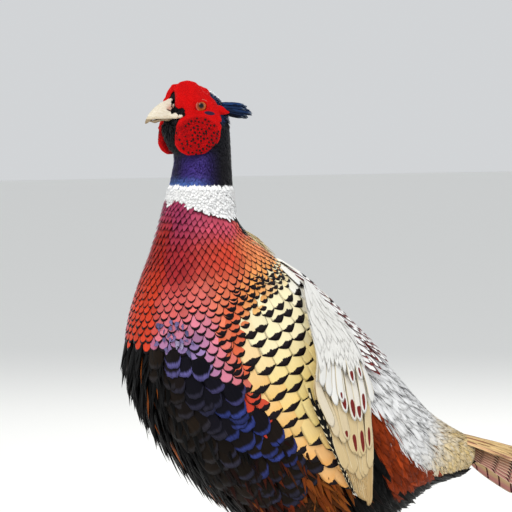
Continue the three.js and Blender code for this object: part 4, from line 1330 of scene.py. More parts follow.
def layWing(side):
    name = sideName(side)
    chart = wingChart(side)
    chance = np.random.default_rng(101 if side < 0 else 102)
    cover = coverFinish()
    cream = fromScreen(228, 212, 174)
    brown = fromScreen(120, 88, 58)

    def lay(part, roots, cut, sizes, paints, traits, finish):
        layCoat(part + "_" + name, roots, cut, sizes, paints, traits, finish)

    # long flight feathers that run into the tip
    shares = np.linspace(0.03, 0.97, 12)
    roots = wingRoots(chart, 5.5 - 1.0 * shares, shares, 5 * mm)
    sizes = dict(length=116 * mm - 22 * mm * shares, width=3.9 * mm,
                 lift=1.2 * mm + 1.6 * mm * shares, sink=-1.0 * mm, roll=-0.10)
    lay("flight", roots, dict(columns=7, rows=18, shoulder=0.9, point=1.6, camber=0.08, taper=0.6), sizes,
        dict(ground=wingGround(roots, chance, 160), edging=cream, mark=brown),
        coverTraits(roots, chance, 0.8), cover)
    # black and cream outer webs along the front edge
    shares = np.array([-0.075, -0.03])
    roots = wingRoots(chart, [5.0, 4.6], shares, 4 * mm)
    sizes = dict(length=np.array([104, 100]) * mm, width=1.6 * mm, lift=np.array([2.6, 3.2]) * mm,
                 sink=1.0 * mm)
    lay("outerWebs", roots, dict(columns=5, rows=20, shoulder=0.9, camber=0.1, taper=0.7), sizes,
        dict(ground=hues["coal"], edging=cream),
        dict(chance=roots.drawn(chance), notched=np.array([-1.0, 1.0]) * -side), edgeFinish())
    # greater coverts, those towards the back with their maroon drops
    spotted = [(share, height - reach - 3.5, reach, wide) for share, height, reach, wide in wing["spots"]]
    rows = np.array(spotted + [(share, tip, 0.0, 1.0) for share, tip in wing["plainTips"]])
    rows = rows[np.argsort(rows[:, 1])]
    roots = wingRoots(chart, stationOf(rows[:, 1] + wing["coverLength"]), rows[:, 0], 7 * mm)
    sizes = dict(length=wing["coverLength"] * mm, width=wing["coverHalfWidth"] * mm,
                 lift=3.4 * mm + (rows[:, 1] - 180) * 0.018 * mm, sink=0.4 * mm,
                 yaw=roots.jitter(chance, 0.02), roll=-0.06)
    lay("greaterCoverts", roots, dict(columns=9, rows=14, shoulder=0.80, point=1.7, blunt=0.7, rise=0.5,
                                      camber=0.08, taper=0.7), sizes,
        dict(ground=wingGround(roots, chance, rows[:, 1]), edging=cream,
             mark=fromScreen(112, 30, 26)),
        coverTraits(roots, chance, 0.0, rows), cover)
    # smaller coverts from the shoulder down
    roots = wingRows(chart, 8.98, 6.8, 5.5, 4.4).moved(chance, 0.2)
    sizes = dict(length=roots.drawn(chance, 32, 40) * mm, width=3.7 * mm,
                 lift=4.6 * mm, sink=1.5 * mm, yaw=roots.jitter(chance, 0.03))
    ground = wingGround(roots, chance, 300)
    lay("coverts", roots, dict(columns=5, rows=9, shoulder=0.5, point=1.6, blunt=0.8, rise=0.3, camber=0.02,
                               taper=0.7),
        sizes, dict(ground=ground, edging=ground, mark=brown), coverTraits(roots, chance, 0.05), cover)
    base = wingBase(chart, side, name)
    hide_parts("wing_" + name)


def wingBase(chart, side, name):
    # the closed under-surface that the wing's feathers lie on
    inner = chart.grid[11:-1, 14:-13] - chart.normal[11:-1, 14:-13] * 1.2 * mm
    rows, columns = inner.shape[:2]
    deselectAll()
    bpy.ops.mesh.primitive_grid_add(x_subdivisions=columns - 1, y_subdivisions=rows - 1, size=1.0)
    base = bpy.context.object
    base.name = "wingBase_" + name
    order = inner if side < 0 else inner[:, ::-1]
    base.data.vertices.foreach_set("co", order.reshape(-1).astype(np.float32))
    base.data.update()
    addModifier(base, "SOLIDIFY", thickness=1.6 * mm, offset=0.0)
    applyModifiers(base)
    bpy.ops.object.mode_set(mode="EDIT")
    bpy.ops.mesh.select_all(action="SELECT")
    bpy.ops.mesh.normals_make_consistent(inside=False)
    bpy.ops.object.mode_set(mode="OBJECT")
    bpy.ops.object.shade_smooth()
    finish = Finish("wingBase_" + name, roughness=0.8)
    grain = finish.noise(700.0, 3.0)
    finish.colour(finish.mixed(grain, fromScreen(206, 200, 186), fromScreen(230, 226, 214)))
    finish.bump(grain, 0.3, 0.0003)
    base.data.materials.append(finish.material)
    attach(base, "root")
    return base


scapular = dict(
    around=90, spacing=1.7, first=9.4, last=6.3, length=27.0, halfWidth=4.3, lift=(3.4, 8.0),
    cut=dict(columns=9, rows=9, shoulder=0.3, point=1.4, blunt=0.9, rise=0.5, camber=0.16, taper=0.6),
)


def layScapulars():
    # the shoulder feathers that lie over the wing's rear edge, down the back: white with a black line inside
    # a maroon margin
    chance = np.random.default_rng(111)
    roots = latticeOn(chart, scapular)
    limit = at([(6.2, 0.27), (6.8, 0.25), (7.3, 0.22), (7.9, 0.18), (8.4, 0.145), (9.0, 0.11), (9.5, 0.07)],
               roots.station)
    inner = at([(6.2, 0.12), (6.8, 0.085), (7.4, 0.04), (7.8, 0.0)], roots.station)
    roots = roots.kept((roots.round < limit) & (roots.round >= inner)).moved(chance, 0.3)
    g, r = roots.station, roots.round
    edging = blend(hues["chestnut"], hues["white"], softStep(g, 8.9, 9.4))
    low, high = scapular["lift"]
    raised = softStep(r, 0.02, 0.13)
    sizes = dict(length=scapular["length"] * mm, width=scapular["halfWidth"] * mm,
                 lift=(low + (high - low) * raised) * mm, sink=raised * 5.0 * mm,
                 yaw=roots.jitter(chance, 0.05), roll=roots.jitter(chance, 0.05))
    inset = 0.72 + roots.jitter(chance, 0.03)
    layCoat("scapulars", roots, scapular["cut"], sizes,
            dict(ground=varied(chance, plain(roots, hues["white"]), 0.03),
                 edging=varied(chance, edging, 0.15), mark=hues["ink"]),
            dict(chance=roots.drawn(chance), tipMark=inset), shaftFinish("scapulars"))


# The tail, in mm and degrees: feathers in pairs over a roof whose ridge runs along its top.
tail = dict(
    root=(179.0, 204.0), slope=-14.5, droop=22.0, lengths=[463, 408, 335, 275, 225, 190, 160, 138, 120],
    width=30.0, widthStep=0.9, shaft=12.5, shaftStep=3.6, roofRadius=28.0, roofAngle=64.0, layer=1.5,
    opening=70.0, rows=64, columns=11, thickness=0.8, barSpacing=15.5,
)


def tailPoint(side, reach, arc, depth):
    angle = np.minimum(arc / tail["roofRadius"], math.radians(tail["roofAngle"]))
    rest = arc - angle * tail["roofRadius"]
    radius = tail["roofRadius"] - depth
    out = radius * np.sin(angle) + rest * np.cos(angle)
    down = tail["roofRadius"] - radius * np.cos(angle) + rest * np.sin(angle)
    fall = tail["droop"] * (reach / tail["lengths"][0]) ** 2
    slope = math.radians(tail["slope"])
    x = tail["root"][0] + reach * math.cos(slope) + down * math.sin(slope)
    z = tail["root"][1] + reach * math.sin(slope) - down * math.cos(slope) - fall
    return np.stack([x * mm + cadShift, side * out * mm, z * mm], axis=-1)


def tailFinish():
    # buff feathers with black bars, mauve towards their margins
    finish = Finish("tailFeathers", roughness=0.48)
    across, v, chance = finish.vane()
    reach = v * finish.trait("reach")
    streaks = streaksOf(finish, across, v * 8.0, chance, 12.0, 1.0)
    aside = abs(across)
    phase = reach / tail["barSpacing"] - aside * 0.55 + (streaks - 0.5) * 0.10
    inBar = finish.node("ShaderNodeMath", dict(operation="FRACT"), {0: phase})
    bar = inBar.rises(0.03, 0.07) * inBar.falls(0.17, 0.23) * (aside * 1.2 + reach * 0.004).rises(0.10, 0.30)
    bar = bar * aside.falls(0.93, 1.0)
    colour = finish.mixed(aside.rises(0.25, 0.75) * finish.trait("mauve"), finish.paint("ground"),
                          finish.paint("edging"))
    colour = shaded(finish, colour, streaks, 0.75, 1.22)
    colour = finish.mixed(aside.rises(0.86, 0.97) * 0.7, colour, fromScreen(236, 214, 180))
    colour = finish.mixed(bar, colour, finish.paint("mark"))
    colour = finish.mixed(aside.falls(0.015, 0.03) * 0.6, colour, fromScreen(150, 112, 70))
    finish.colour(colour)
    ribs = ((reach * 2.2 - aside * 26.0) * 1.4).wave() * 0.3 + streaks * 0.6
    finish.bump(ribs, 0.35, 0.0003)
    return finish


def layTail():
    count = len(tail["lengths"])
    across = np.linspace(-1, 1, tail["columns"])[None, :]
    along = np.linspace(0, 1, tail["rows"])[:, None]
    tops, unders, lengths = [], [], []
    for pair in reversed(range(count)):
        for side in (1, -1):
            length = tail["lengths"][pair]
            middle = pair == 0
            shaft = 0 if middle else tail["shaft"] + (pair - 1) * tail["shaftStep"]
            layer = (0 if side < 0 else 1) if middle else pair + 1
            reach = along * length + across * 0
            spread = 0.3 + 0.7 * np.sqrt(np.minimum(1, reach / tail["opening"]))
            taper = 1 - 0.7 * np.maximum(0, (reach - tail["opening"]) / (length - tail["opening"] + 1)) ** 1.3
            tip = np.sqrt(np.maximum(0.0, 1 - along ** 8))
            aside = across * (tail["width"] - pair * tail["widthStep"]) * spread * taper * tip / 2
            inner = np.maximum(shaft * spread + aside, -tail["width"] if middle else 0.15)
            arch = 0.5 * (1 - across ** 2) * tip + 0.5 * np.exp(-(across / 0.08) ** 2) * (1 - along)
            for face, kept in ((0, tops), (1, unders)):
                wall = face * tail["thickness"] * (1 - np.abs(across) ** 6) * tip
                depth = layer * tail["layer"] - arch + wall
                near = tailPoint(side, reach, np.abs(inner), depth)
                far = tailPoint(-side, reach, np.abs(inner), depth)
                kept.append(np.where((inner < 0)[..., None], far, near))
            lengths.append(length)
    chance = np.random.default_rng(121)
    roots = len(lengths)
    lengths = np.array(lengths, float)
    outerness = np.linspace(1, 0, roots)
    ground = np.tile(np.array(fromScreen(224, 194, 146)), (roots, 1)) * (1 - 0.12 * outerness[:, None])
    dark = blend(hues["ink"], fromScreen(74, 22, 30), outerness)
    place = np.stack([np.linspace(0.1, 0.9, roots), np.full(roots, 0.03)], axis=1)
    made = vaneMesh("tailFeathers", np.array(tops), place,
                    dict(ground=varied(chance, ground, 0.05), edging=fromScreen(188, 128, 122),
                                                    mark=dark),
                    dict(chance=chance.uniform(0, 1, roots), reach=lengths,
                         mauve=np.clip(0.45 + 0.55 * outerness, 0, 1)),
                    tailFinish().material, np.array(unders))
    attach(made, "root")
    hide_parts("tail")
    sayStage("tail, %d feathers" % roots)


# The long coverts from the rump out over the tail's root, in mm: how far along the tail and how far round its
# roof they grow, and how high they lie over it.
tailCoverts = dict(
    count=320, along=(-28, 20), around=19.0, opening=1.45, over=2.0, length=(34, 60), halfWidth=(1.0, 2.2),
    cut=dict(columns=5, rows=8, shoulder=0.3, taper=0.5, camber=0.25, close=0.5, rise=0.02, droop=0.01),
)


def layTailCoverts():
    # straw, brown and mauve strands that run out over the root of the tail
    chance = np.random.default_rng(131)
    part = tailCoverts
    count = part["count"]
    reach = chance.uniform(*part["along"], count)
    arc = chance.uniform(-1, 1, count)
    side, arc = np.sign(arc), np.abs(arc) * part["around"] * (1 + np.maximum(reach, 0) / 60)
    starts = tailPoint(side, reach, arc, -part["over"])
    headings = unit(tailPoint(side, reach + 50, arc * part["opening"], -part["over"] - 0.5) - starts)
    normals = unit(tailPoint(side, reach, arc, -part["over"] - 5) - starts)
    chosen = chance.uniform(0, 1, (count, 1))
    ground = np.where(chosen < 0.6, np.array(hues["straw"]), np.array(fromScreen(196, 160, 108)))
    ground = np.where(chosen > 0.8, np.array(fromScreen(140, 96, 58)), ground)
    ground = blend(ground, hues["mauve"], 0.15 + softStep(arc, 14, 24) * 0.4)
    laySpray("tailCoverts", starts, headings, normals, chance.uniform(*part["length"], count) * mm,
             chance.uniform(*part["halfWidth"], count) * mm, part["cut"], varied(chance, ground, 0.12),
             strandFinish("tailCoverts", 0.6, 0.8, 1.2), ground * 0.9)
    sayStage("tail coverts")


def pushed(thing, pushes, side=1):
    # Moves parts of a thing as with a soft brush: place and reach in mm, then the way and how far it goes
    # there.
    points = pointsOf(thing.data)
    for place, reach, way in pushes:
        centre = np.array([place[0] * mm + cadShift, side * place[1] * mm, place[2] * mm])
        share = 1 - softStep(np.linalg.norm(points - centre, axis=1), 0, reach * mm)
        points += share[:, None] * np.array([way[0], side * way[1], way[2]]) * mm
    thing.data.vertices.foreach_set("co", points.reshape(-1))
    thing.data.update()


def remade(thing, voxel, smoothing):
    # one closed skin over all the lumps of a thing
    addModifier(thing, "REMESH", mode="VOXEL", voxel_size=voxel * mm)
    addModifier(thing, "SMOOTH", factor=0.5, iterations=smoothing)
    applyModifiers(thing)
    for face in thing.data.polygons:
        face.use_smooth = True


def addBall(place, size, side):
    # one ball in mm from the middle plane; what is made is left active
    deselectAll()
    spot = (place[0] * mm + cadShift, side * place[1] * mm, place[2] * mm)
    bpy.ops.mesh.primitive_uv_sphere_add(segments=32, ring_count=16, radius=1.0, location=spot)
    ball = bpy.context.object
    ball.scale = tuple(value * mm for value in size)
    bpy.ops.object.transform_apply(location=True, rotation=True, scale=True)
    return ball


def joined(things, name):
    deselectAll()
    for thing in things:
        thing.select_set(True)
    bpy.context.view_layer.objects.active = things[0]
    bpy.ops.object.join()
    things[0].name = name
    return things[0]


def settle(thing, finish, slot, *nodes):
    thing.data.materials.clear()
    thing.data.materials.append(finish.material)
    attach(thing, "root")
    if nodes:
        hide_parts(*nodes)


def placed(finish, side):
    # a point's place in mm: along the bird from the feet, out from the middle plane, and up from the floor
    where = finish.node("ShaderNodeTexCoord", out="Object")
    x, y, z = (finish.node("ShaderNodeSeparateXYZ", {}, {0: where}, out=axis) for axis in "XYZ")
    return x * 1000.0 - cadShift * 1000.0, y * (1000.0 * side), z * 1000.0


# Red skin round the eye and on the cheek, in mm. Each lump is a place and its three radii. The pushes round
# off the cheek's outline, draw the brows back from the bill, and thin the rear point.
faceSkin = dict(
    voxel=0.7,
    smoothing=7,
    lumps=[
        ((-104, 8.0, 517.5), (10.0, 5.0, 8.0)), ((-119, 13.4, 508.2), (6.5, 3.2, 5.4)),
        ((-113, 15.5, 515.0), (8.0, 3.0, 5.0)), ((-99, 17.0, 500.0), (7.0, 4.0, 5.0)),
        ((-109, 7.5, 520.0), (10.0, 5.0, 7.4)), ((-120, 15.2, 504.0), (5.0, 3.4, 4.4)),
    ],
    pushes=[
        ((-137, 14, 486), 15, (2.9, 0, 0)), ((-114, 20, 465), 15, (0, 0, 2.2)),
        ((-101, 23, 471), 12, (-2.8, 0, 1.6)), ((-98, 23, 494), 11, (4.2, 0, 0)),
        ((-134, 5.5, 518), 9, (4.4, 0.6, 0)), ((-134, 8, 510), 8, (4.0, 0.6, 0)),
        ((-82, 15, 508), 7, (-1.0, 0, -2.4)), ((-125, 3.0, 526), 7, (2.5, 2.0, -1.0)),
        ((-96, 8, 517), 9, (-1.6, 0, -1.8)),
    ],
    farPushes=[((-120, 9, 531), 14, (1.0, 0, -3.0)), ((-133, 7, 524), 11, (2.4, 1.6, -2.6)),
               ((-129, 3, 518), 8, (0, 2.2, 0)), ((-132, 9, 527), 10, (2.6, 0, -2.2))],
    lobe=(-116.5, 483.5, 21.5, 19.0),       # x, z and half sizes
    earPatch=(-104.0, 503.0, 5.4, 1.9),
    bright=fromScreen(220, 3, 3),
    deep=fromScreen(120, 0, 5),
    patch=fromScreen(46, 32, 56),
)


def skinFinish(side):
    finish = Finish("redSkin_" + sideName(side), roughness=0.72)
    x, _, z = placed(finish, side)
    lobe, patch = faceSkin["lobe"], faceSkin["earPatch"]
    acrossLobe, upLobe = (x - lobe[0]) / lobe[2], (z - lobe[1]) / lobe[3]
    fromLobe = (acrossLobe * acrossLobe + upLobe * upLobe) ** 0.5
    inside = fromLobe.falls(0.82, 0.95) * z.falls(499.0, 502.0)
    where = finish.node("ShaderNodeTexCoord", out="Object")
    grains = finish.node("ShaderNodeTexVoronoi", {}, {"Vector": where, "Scale": 1050.0})
    lumps = finish.node("ShaderNodeTexVoronoi", {}, {"Vector": where, "Scale": 420.0})
    patches = finish.noise(160.0, 3.0).rises(0.35, 0.68)
    share = inside * 0.20 + patches * 0.18 + grains.rises(0.25, 0.75) * 0.34
    share = share + inside * lumps.rises(0.2, 0.7) * 0.30
    colour = finish.mixed(share.least(1.0), faceSkin["bright"], faceSkin["deep"])
    acrossPatch, upPatch = (x - patch[0]) / patch[2], (z - patch[1] - (x - patch[0]) * -0.10) / patch[3]
    fromPatch = (acrossPatch * acrossPatch + upPatch * upPatch) ** 0.5
    finish.colour(finish.mixed(fromPatch.falls(0.75, 1.05), colour, faceSkin["patch"]))
    finish.surface("Roughness", 0.62 + grains * 0.35)
    finish.bump(grains.falls(0.1, 0.7) * 0.5 + inside * lumps.falls(0.1, 0.65), 0.9, 0.0007)
    return finish


def layFaceSkin(side):
    name = sideName(side)
    parts = [mergedCopy("faceSkin", ["wattle_" + name])]
    parts += [addBall(place, size, side) for place, size in faceSkin["lumps"]]
    skinPiece = joined(parts, "faceSkin_" + name)
    remade(skinPiece, faceSkin["voxel"], faceSkin["smoothing"])
    pushed(skinPiece, faceSkin["pushes"] + (faceSkin["farPushes"] if side > 0 else []), side)
    remade(skinPiece, faceSkin["voxel"], 3)
    settle(skinPiece, skinFinish(side), "face_skin", "wattle_" + name)
    layCheekTufts(skinPiece, side)
    layEye(side)


def straightVanes(starts, headings, normals, length, width, cut):
    # Vanes that follow no chart, as an array of vanes by rows by columns by 3: from their roots along a
    # heading, with a droop and a rise out of the surface as shares of the length.
    s = np.linspace(-1, 1, cut["columns"])
    v = np.linspace(0, 1, cut["rows"])
    reach = cut.get("shoulder", 0.7) + (1 - cut.get("shoulder", 0.7)) * (1 - np.abs(s) ** 2)
    spread = spreadOf(cut, v, 0.5, 0.5)
    along = v[:, None] * reach[None, :]
    across = unit(np.cross(normals, headings))
    shape = (len(starts), 1, 1, 1)
    length, width = length.reshape(shape), width.reshape(shape)
    height = length * (cut.get("rise", 0.0) * np.sin(along * math.pi))[None, ..., None]
    height = height + width * cut.get("camber", 0.1) * (1 - s ** 2)[None, None, :, None]
    points = starts[:, None, None, :] + headings[:, None, None, :] * (along[None, ..., None] * length)
    lateral = s[None, None, :, None] * spread[None, :, None, None] * width
    points = points + across[:, None, None, :] * lateral
    points = points + normals[:, None, None, :] * height
    points[..., 2] -= (cut.get("droop", 0.0) * length * (along ** 2)[None, ..., None])[..., 0]
    return points


def laySpray(name, starts, headings, normals, length, width, cut, ground, finish, edging=None):
    points = straightVanes(starts, headings, normals, length, width, cut)
    chance = np.random.default_rng(len(starts))
    place = 0.02 + 0.96 * np.stack([chance.uniform(0, 1, len(starts)) for _ in range(2)], axis=1)
    traits = dict(chance=chance.uniform(0, 1, len(starts)), tick=np.zeros(len(starts)))
    # without an edging given, a half-dark copy of the ground, which the gloss finish paints as shade over
    # each root
    paints = dict(ground=ground, edging=ground * 0.5 if edging is None else edging)
    made = vaneMesh(name, points, place, paints, traits, finish.material)
    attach(made, "root")
    return made


cheekTufts = dict(
    across=3.5, up=3.0, tilt=-14.0, length=2.8, halfWidth=0.95,
    cut=dict(columns=3, rows=4, rise=0.22, close=0.6), black=fromScreen(14, 0, 3),
)


def layCheekTufts(skinPiece, side):
    # short black feathers in rows on the cheek, closer together towards the middle and the rear
    chance = np.random.default_rng(91)
    lobe = faceSkin["lobe"]
    tilt = math.radians(cheekTufts["tilt"])
    tree = treeOf(skinPiece)
    starts, normals = [], []
    for row in range(-7, 8):
        for column in range(-8, 9):
            a = (column + 0.5 * (row % 2)) * cheekTufts["across"] + chance.normal(0, 0.35)
            b = row * cheekTufts["up"] + chance.normal(0, 0.35)
            x, z = a * math.cos(tilt) - b * math.sin(tilt), a * math.sin(tilt) + b * math.cos(tilt)
            far = math.hypot(x / lobe[2], z / lobe[3])
            if far > 0.84 or z > 15.5 or chance.uniform() < 0.12 + 0.6 * max(0.0, -x / lobe[2] - 0.15):
                continue
            spot = Vector(((lobe[0] + x) * mm + cadShift, side * 0.1, (lobe[1] + z) * mm))
            place, normal = tree.ray_cast(spot, Vector((0, -side, 0)))[:2]
            if place is not None:
                starts.append(place)
                normals.append(normal)
    starts, normals = np.array(starts), np.array(normals)
    headings = np.array([0.55, 0.0, -0.8]) + chance.normal(0, 0.25, (len(starts), 3))
    headings = unit(headings - normals * (headings * normals).sum(1, keepdims=True))
    length = cheekTufts["length"] * mm * chance.uniform(0.7, 1.15, len(starts))
    width = np.full(len(starts), cheekTufts["halfWidth"] * mm)
    ground = np.tile(np.array(cheekTufts["black"]), (len(starts), 1))
    finish = glossFinish("cheekBlack_" + sideName(side), 0.6, 0.0)
    laySpray("cheekTufts_" + sideName(side), starts - normals * 0.15 * mm, headings, normals,
             length, width, cheekTufts["cut"], ground, finish)


# The eye looks a little forward. Lengths in mm, from the ball's middle.
eyeball = dict(
    place=(-109.0, 14.6, 509.2), radius=5.25, forward=20.0, up=4.0, pupil=1.85, iris=4.7,
    lid=dict(place=(-109.0, 17.9, 509.3), ring=5.35, thickness=0.62),
    inner=fromScreen(84, 26, 6), outer=fromScreen(206, 112, 52), rim=fromScreen(40, 10, 6),
    lidColour=fromScreen(214, 112, 96),
)


def eyeFinish(side):
    finish = Finish("eye_%s_gloss" % sideName(side), roughness=0.3, Coat_Weight=1.0,
                    Coat_Roughness=0.02, Coat_IOR=1.26)
    x, y, z = placed(finish, side)
    turn, rise = math.radians(eyeball["forward"]), math.radians(eyeball["up"])
    ahead = (-math.sin(turn) * math.cos(rise), math.cos(turn) * math.cos(rise), math.sin(rise))
    dx, dy, dz = x - eyeball["place"][0], y - eyeball["place"][1], z - eyeball["place"][2]
    along = dx * ahead[0] + dy * ahead[1] + dz * ahead[2]
    away = ((dx * dx + dy * dy + dz * dz) - along * along).most(0.0) ** 0.5
    streaks = finish.noise(1500.0, 2.0)
    share = away.rises(eyeball["pupil"], 4.2) + (streaks - 0.5) * 0.5
    colour = finish.mixed(share, eyeball["inner"], eyeball["outer"])
    colour = finish.mixed(away.rises(eyeball["iris"] - 0.35, eyeball["iris"] + 0.1), colour, eyeball["rim"])
    pupil = away.falls(eyeball["pupil"] - 0.12, eyeball["pupil"] + 0.12)
    finish.colour(finish.mixed(pupil, colour, (0.002, 0.002, 0.002)))
    return finish


def layEye(side):
    name = sideName(side)
    radius = eyeball["radius"]
    ball = addBall(eyeball["place"], (radius, radius, radius), side)
    ball.name = "eyeball_" + name
    bpy.ops.object.shade_smooth()
    settle(ball, eyeFinish(side), "eye", "eye_" + name)
    lid = eyeball["lid"]
    spot = (lid["place"][0] * mm + cadShift, side * lid["place"][1] * mm, lid["place"][2] * mm)
    deselectAll()
    bpy.ops.mesh.primitive_torus_add(location=spot, rotation=(math.pi / 2, 0, side * math.radians(6)),
                                     major_radius=lid["ring"] * mm, minor_radius=lid["thickness"] * mm,
                                     major_segments=48, minor_segments=10)
    rim = bpy.context.object
    rim.name = "eyelid_" + name
    bpy.ops.object.transform_apply(location=True, rotation=True, scale=True)
    bpy.ops.object.shade_smooth()
    texture = bpy.data.textures.new("lidGrain_" + name, "CLOUDS")
    texture.noise_scale = 0.0012
    addModifier(rim, "DISPLACE", texture=texture, strength=0.25 * mm, mid_level=0.5)
    applyModifiers(rim)
    finish = Finish("eyelid_" + name, roughness=0.5)
    finish.colour(finish.mixed(finish.noise(900.0, 2.0), eyeball["lidColour"], fromScreen(150, 36, 30)))
    settle(rim, finish, "face_skin")


# Bill, in mm. The pushes round the base of the ridge, draw the gape back, and make the lower half shallow.
bill = dict(
    voxel=0.55,
    upper=[
        ((-126, 8, 500.0), 7.5, (-2.0, 7.6, 0.0)), ((-131.5, 8, 500.5), 5.5, (0, 5.4, -0.4)),
        ((-130, 0, 516), 6.0, (-0.8, 0, 0.6)), ((-135, 7, 507.5), 3.6, (0, 0.9, 0)),
        ((-131, 9, 503.5), 5.0, (0, 1.0, 0)), ((-149, 4, 497.5), 6.0, (0, 0, 0.6)),
    ],
    lower=[
        ((-126, 0, 491), 17.0, (0, 0, 5.8)), ((-140, 0, 491), 10.0, (0, 0, 3.4)),
        ((-127, 7, 498), 7.0, (0, 3.2, 0)), ((-150, 0, 493.5), 5.0, (0, 0, 1.6)),
    ],
    ivory=fromScreen(222, 214, 196), horn=fromScreen(184, 164, 124), cere=fromScreen(188, 132, 112),
    dusk=fromScreen(120, 96, 62), hole=fromScreen(50, 28, 24),
)


def billFinish():
    finish = Finish("billHorn", roughness=0.42, gleam=0.35)
    x, y, z = placed(finish, 1)
    y = abs(y)
    where = finish.node("ShaderNodeTexCoord", out="Object")
    long = finish.node("ShaderNodeMapping", {}, {0: where, 2: (0.0, -0.75, 0.0), 3: (120.0, 900.0, 900.0)})
    grain = finish.node("ShaderNodeTexNoise", {}, {"Vector": long, "Scale": 1.0, "Detail": 3.0})
    edge = z.falls(498.6, 501.6)
    colour = finish.mixed(grain.rises(0.35, 0.75) * 0.35 + edge * 0.35, bill["ivory"], bill["horn"])
    colour = finish.mixed(z.falls(497.4, 498.6) * (0.55 + grain * 0.5), colour, bill["dusk"])
    dx, dz = x + 133.0, z - 507.5 + (x + 133.0) * 0.35
    cere = (((dx / 5.2) * (dx / 5.2) + (dz / 3.8) * (dz / 3.8)) ** 0.5).falls(0.75, 1.15) * y.rises(4.0, 6.0)
    colour = finish.mixed(cere * (0.6 + grain * 0.5), colour, bill["cere"])
    hx, hz = x + 135.4, z - 505.6 + (x + 135.4) * 0.45
    hole = (((hx / 2.3) * (hx / 2.3) + (hz / 0.75) * (hz / 0.75)) ** 0.5).falls(0.7, 1.1) * y.rises(4.0, 6.0)
    finish.colour(finish.mixed(hole, colour, bill["hole"]))
    finish.bump(grain * 0.4 - hole * 1.5, 0.6, 0.0004)
    return finish


def layBill():
    finish = billFinish()
    for half in ("upper", "lower"):
        piece = mergedCopy("bill" + half.capitalize(), ["bill_" + half])
        remade(piece, bill["voxel"], 4)
        pushed(piece, bill[half], 1)
        pushed(piece, [push for push in bill[half] if push[0][1] > 0], -1)
        remade(piece, bill["voxel"], 2)
        settle(piece, finish, "bill", "bill_" + half)


# Small feathers of the crown, nape, lores and chin, and the long ones of the ear tufts. Lengths in mm.
crown = dict(
    around=100, spacing=0.75, first=18.0, last=14.7, length=3.4, halfWidth=0.62, lift=(1.6, 2.2),
    chinLift=3.4, backLift=2.6,
    cut=dict(columns=5, rows=5, shoulder=0.5, point=1.6, blunt=0.8, rise=0.5, camber=0.12, ragged=0.06),
    black=fromScreen(12, 12, 16), navy=fromScreen(26, 44, 84), brown=fromScreen(34, 30, 24),
    white=fromScreen(236, 236, 240),
)
earTuft = dict(
    count=64, root=(-86.0, 12.6, 507.4), rootSpread=(2.0, 1.6, 2.9), length=(18, 27.5), halfWidth=(1.0, 1.8),
    slope=-8.0, fan=11.0, flare=15.0,
    cut=dict(columns=5, rows=7, shoulder=0.86, taper=0.5, close=0.35, camber=0.15, droop=0.04),
    navy=fromScreen(30, 58, 104), night=fromScreen(10, 16, 30), pale=fromScreen(150, 168, 186),
)


def layCrown():
    chance = np.random.default_rng(95)
    roots = latticeOn(chart, crown).moved(chance, 0.4)
    gape = (np.abs(roots.x + 129) < 5) & (np.abs(roots.z - 500.8) < 2.6) & (np.abs(roots.y) > 5)
    cere = (roots.station > 16.9) & (roots.z < 512.5) & (roots.z > 499) & (np.abs(roots.y) > 5)
    roots = roots.kept(~gape & ~cere)
    g, r = roots.station, roots.round
    ground = blend(crown["black"], crown["navy"],
                   between(r, 0.11, 0.28, 0.03) * between(g, 15.2, 15.95, 0.15) * 0.9)
    # painted highlight: a white line along the top of the crown, where the light glances off its glossy
    # feathers
    ground = blend(ground, crown["white"], between(r, 0.0, 0.085, 0.015) * between(g, 15.3, 16.1, 0.08))
    ground = blend(ground, crown["white"], between(r, 0.06, 0.12, 0.02) * between(g, 15.05, 15.2, 0.05))
    chin = softStep(r, 0.78, 0.92) * between(g, 14.9, 16.3, 0.3)
    back = softStep(r, 0.24, 0.10) * between(g, 15.1, 16.0, 0.25)
    lift = roots.drawn(chance, *crown["lift"]) + chin * crown["chinLift"] + back * crown["backLift"]
    sizes = dict(length=roots.room * crown["length"] * (1 + 0.5 * chin),
                 width=roots.room * crown["halfWidth"], lift=lift * mm, yaw=roots.jitter(chance, 0.12),
                 roll=roots.jitter(chance, 0.08))
    # edging is the ground a little darker: the painted shade at each feather's root
    layCoat("crownFeathers", roots, crown["cut"], sizes,
            dict(ground=varied(chance, ground, 0.1), edging=ground * 0.7), dict(chance=roots.drawn(chance)),
            glossFinish("crownGloss", 0.55, 0.1))


def layEarTuft(side):
    name = sideName(side)
    chance = np.random.default_rng(96)
    count = earTuft["count"]
    share = np.linspace(-1, 1, count) + chance.normal(0, 0.12, count)
    root = np.array(earTuft["root"]) * np.array([1, side, 1])
    starts = root + chance.normal(0, 0.35, (count, 3)) * np.array(earTuft["rootSpread"])
    starts[:, 2] += share * earTuft["rootSpread"][2]
    starts = starts * mm + np.array([cadShift, 0, 0])
    slope = np.radians(earTuft["slope"] + share * earTuft["fan"] * 0.5 + chance.normal(0, 1.5, count))
    flare = np.radians(earTuft["flare"] + chance.normal(0, 3.5, count))
    headings = np.stack([np.cos(slope) * np.cos(flare), side * np.cos(slope) * np.sin(flare), np.sin(slope)],
                        axis=1)
    normals = unit(np.stack([-np.sin(flare), side * np.cos(flare), 0.15 * np.ones(count)], axis=1))
    normals = unit(normals - headings * (headings * normals).sum(1, keepdims=True))
    middle = 1 - 0.25 * np.clip(share, -1, 1) ** 2
    length = chance.uniform(*earTuft["length"], count) * mm * middle
    width = chance.uniform(*earTuft["halfWidth"], count) * mm
    ground = np.tile(np.array(earTuft["night"]), (count, 1))
    ground = blend(ground, earTuft["navy"], chance.uniform(0.2, 1.0, count) * softStep(share, -1.0, 0.6))
    finish = tuftFinish(name)
    spray = laySpray("earTuftFeathers_" + name, starts, headings, normals, length, width, earTuft["cut"],
                     ground, finish, np.tile(np.array(earTuft["pale"]), (count, 1)))
    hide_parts("ear_tuft_" + name)


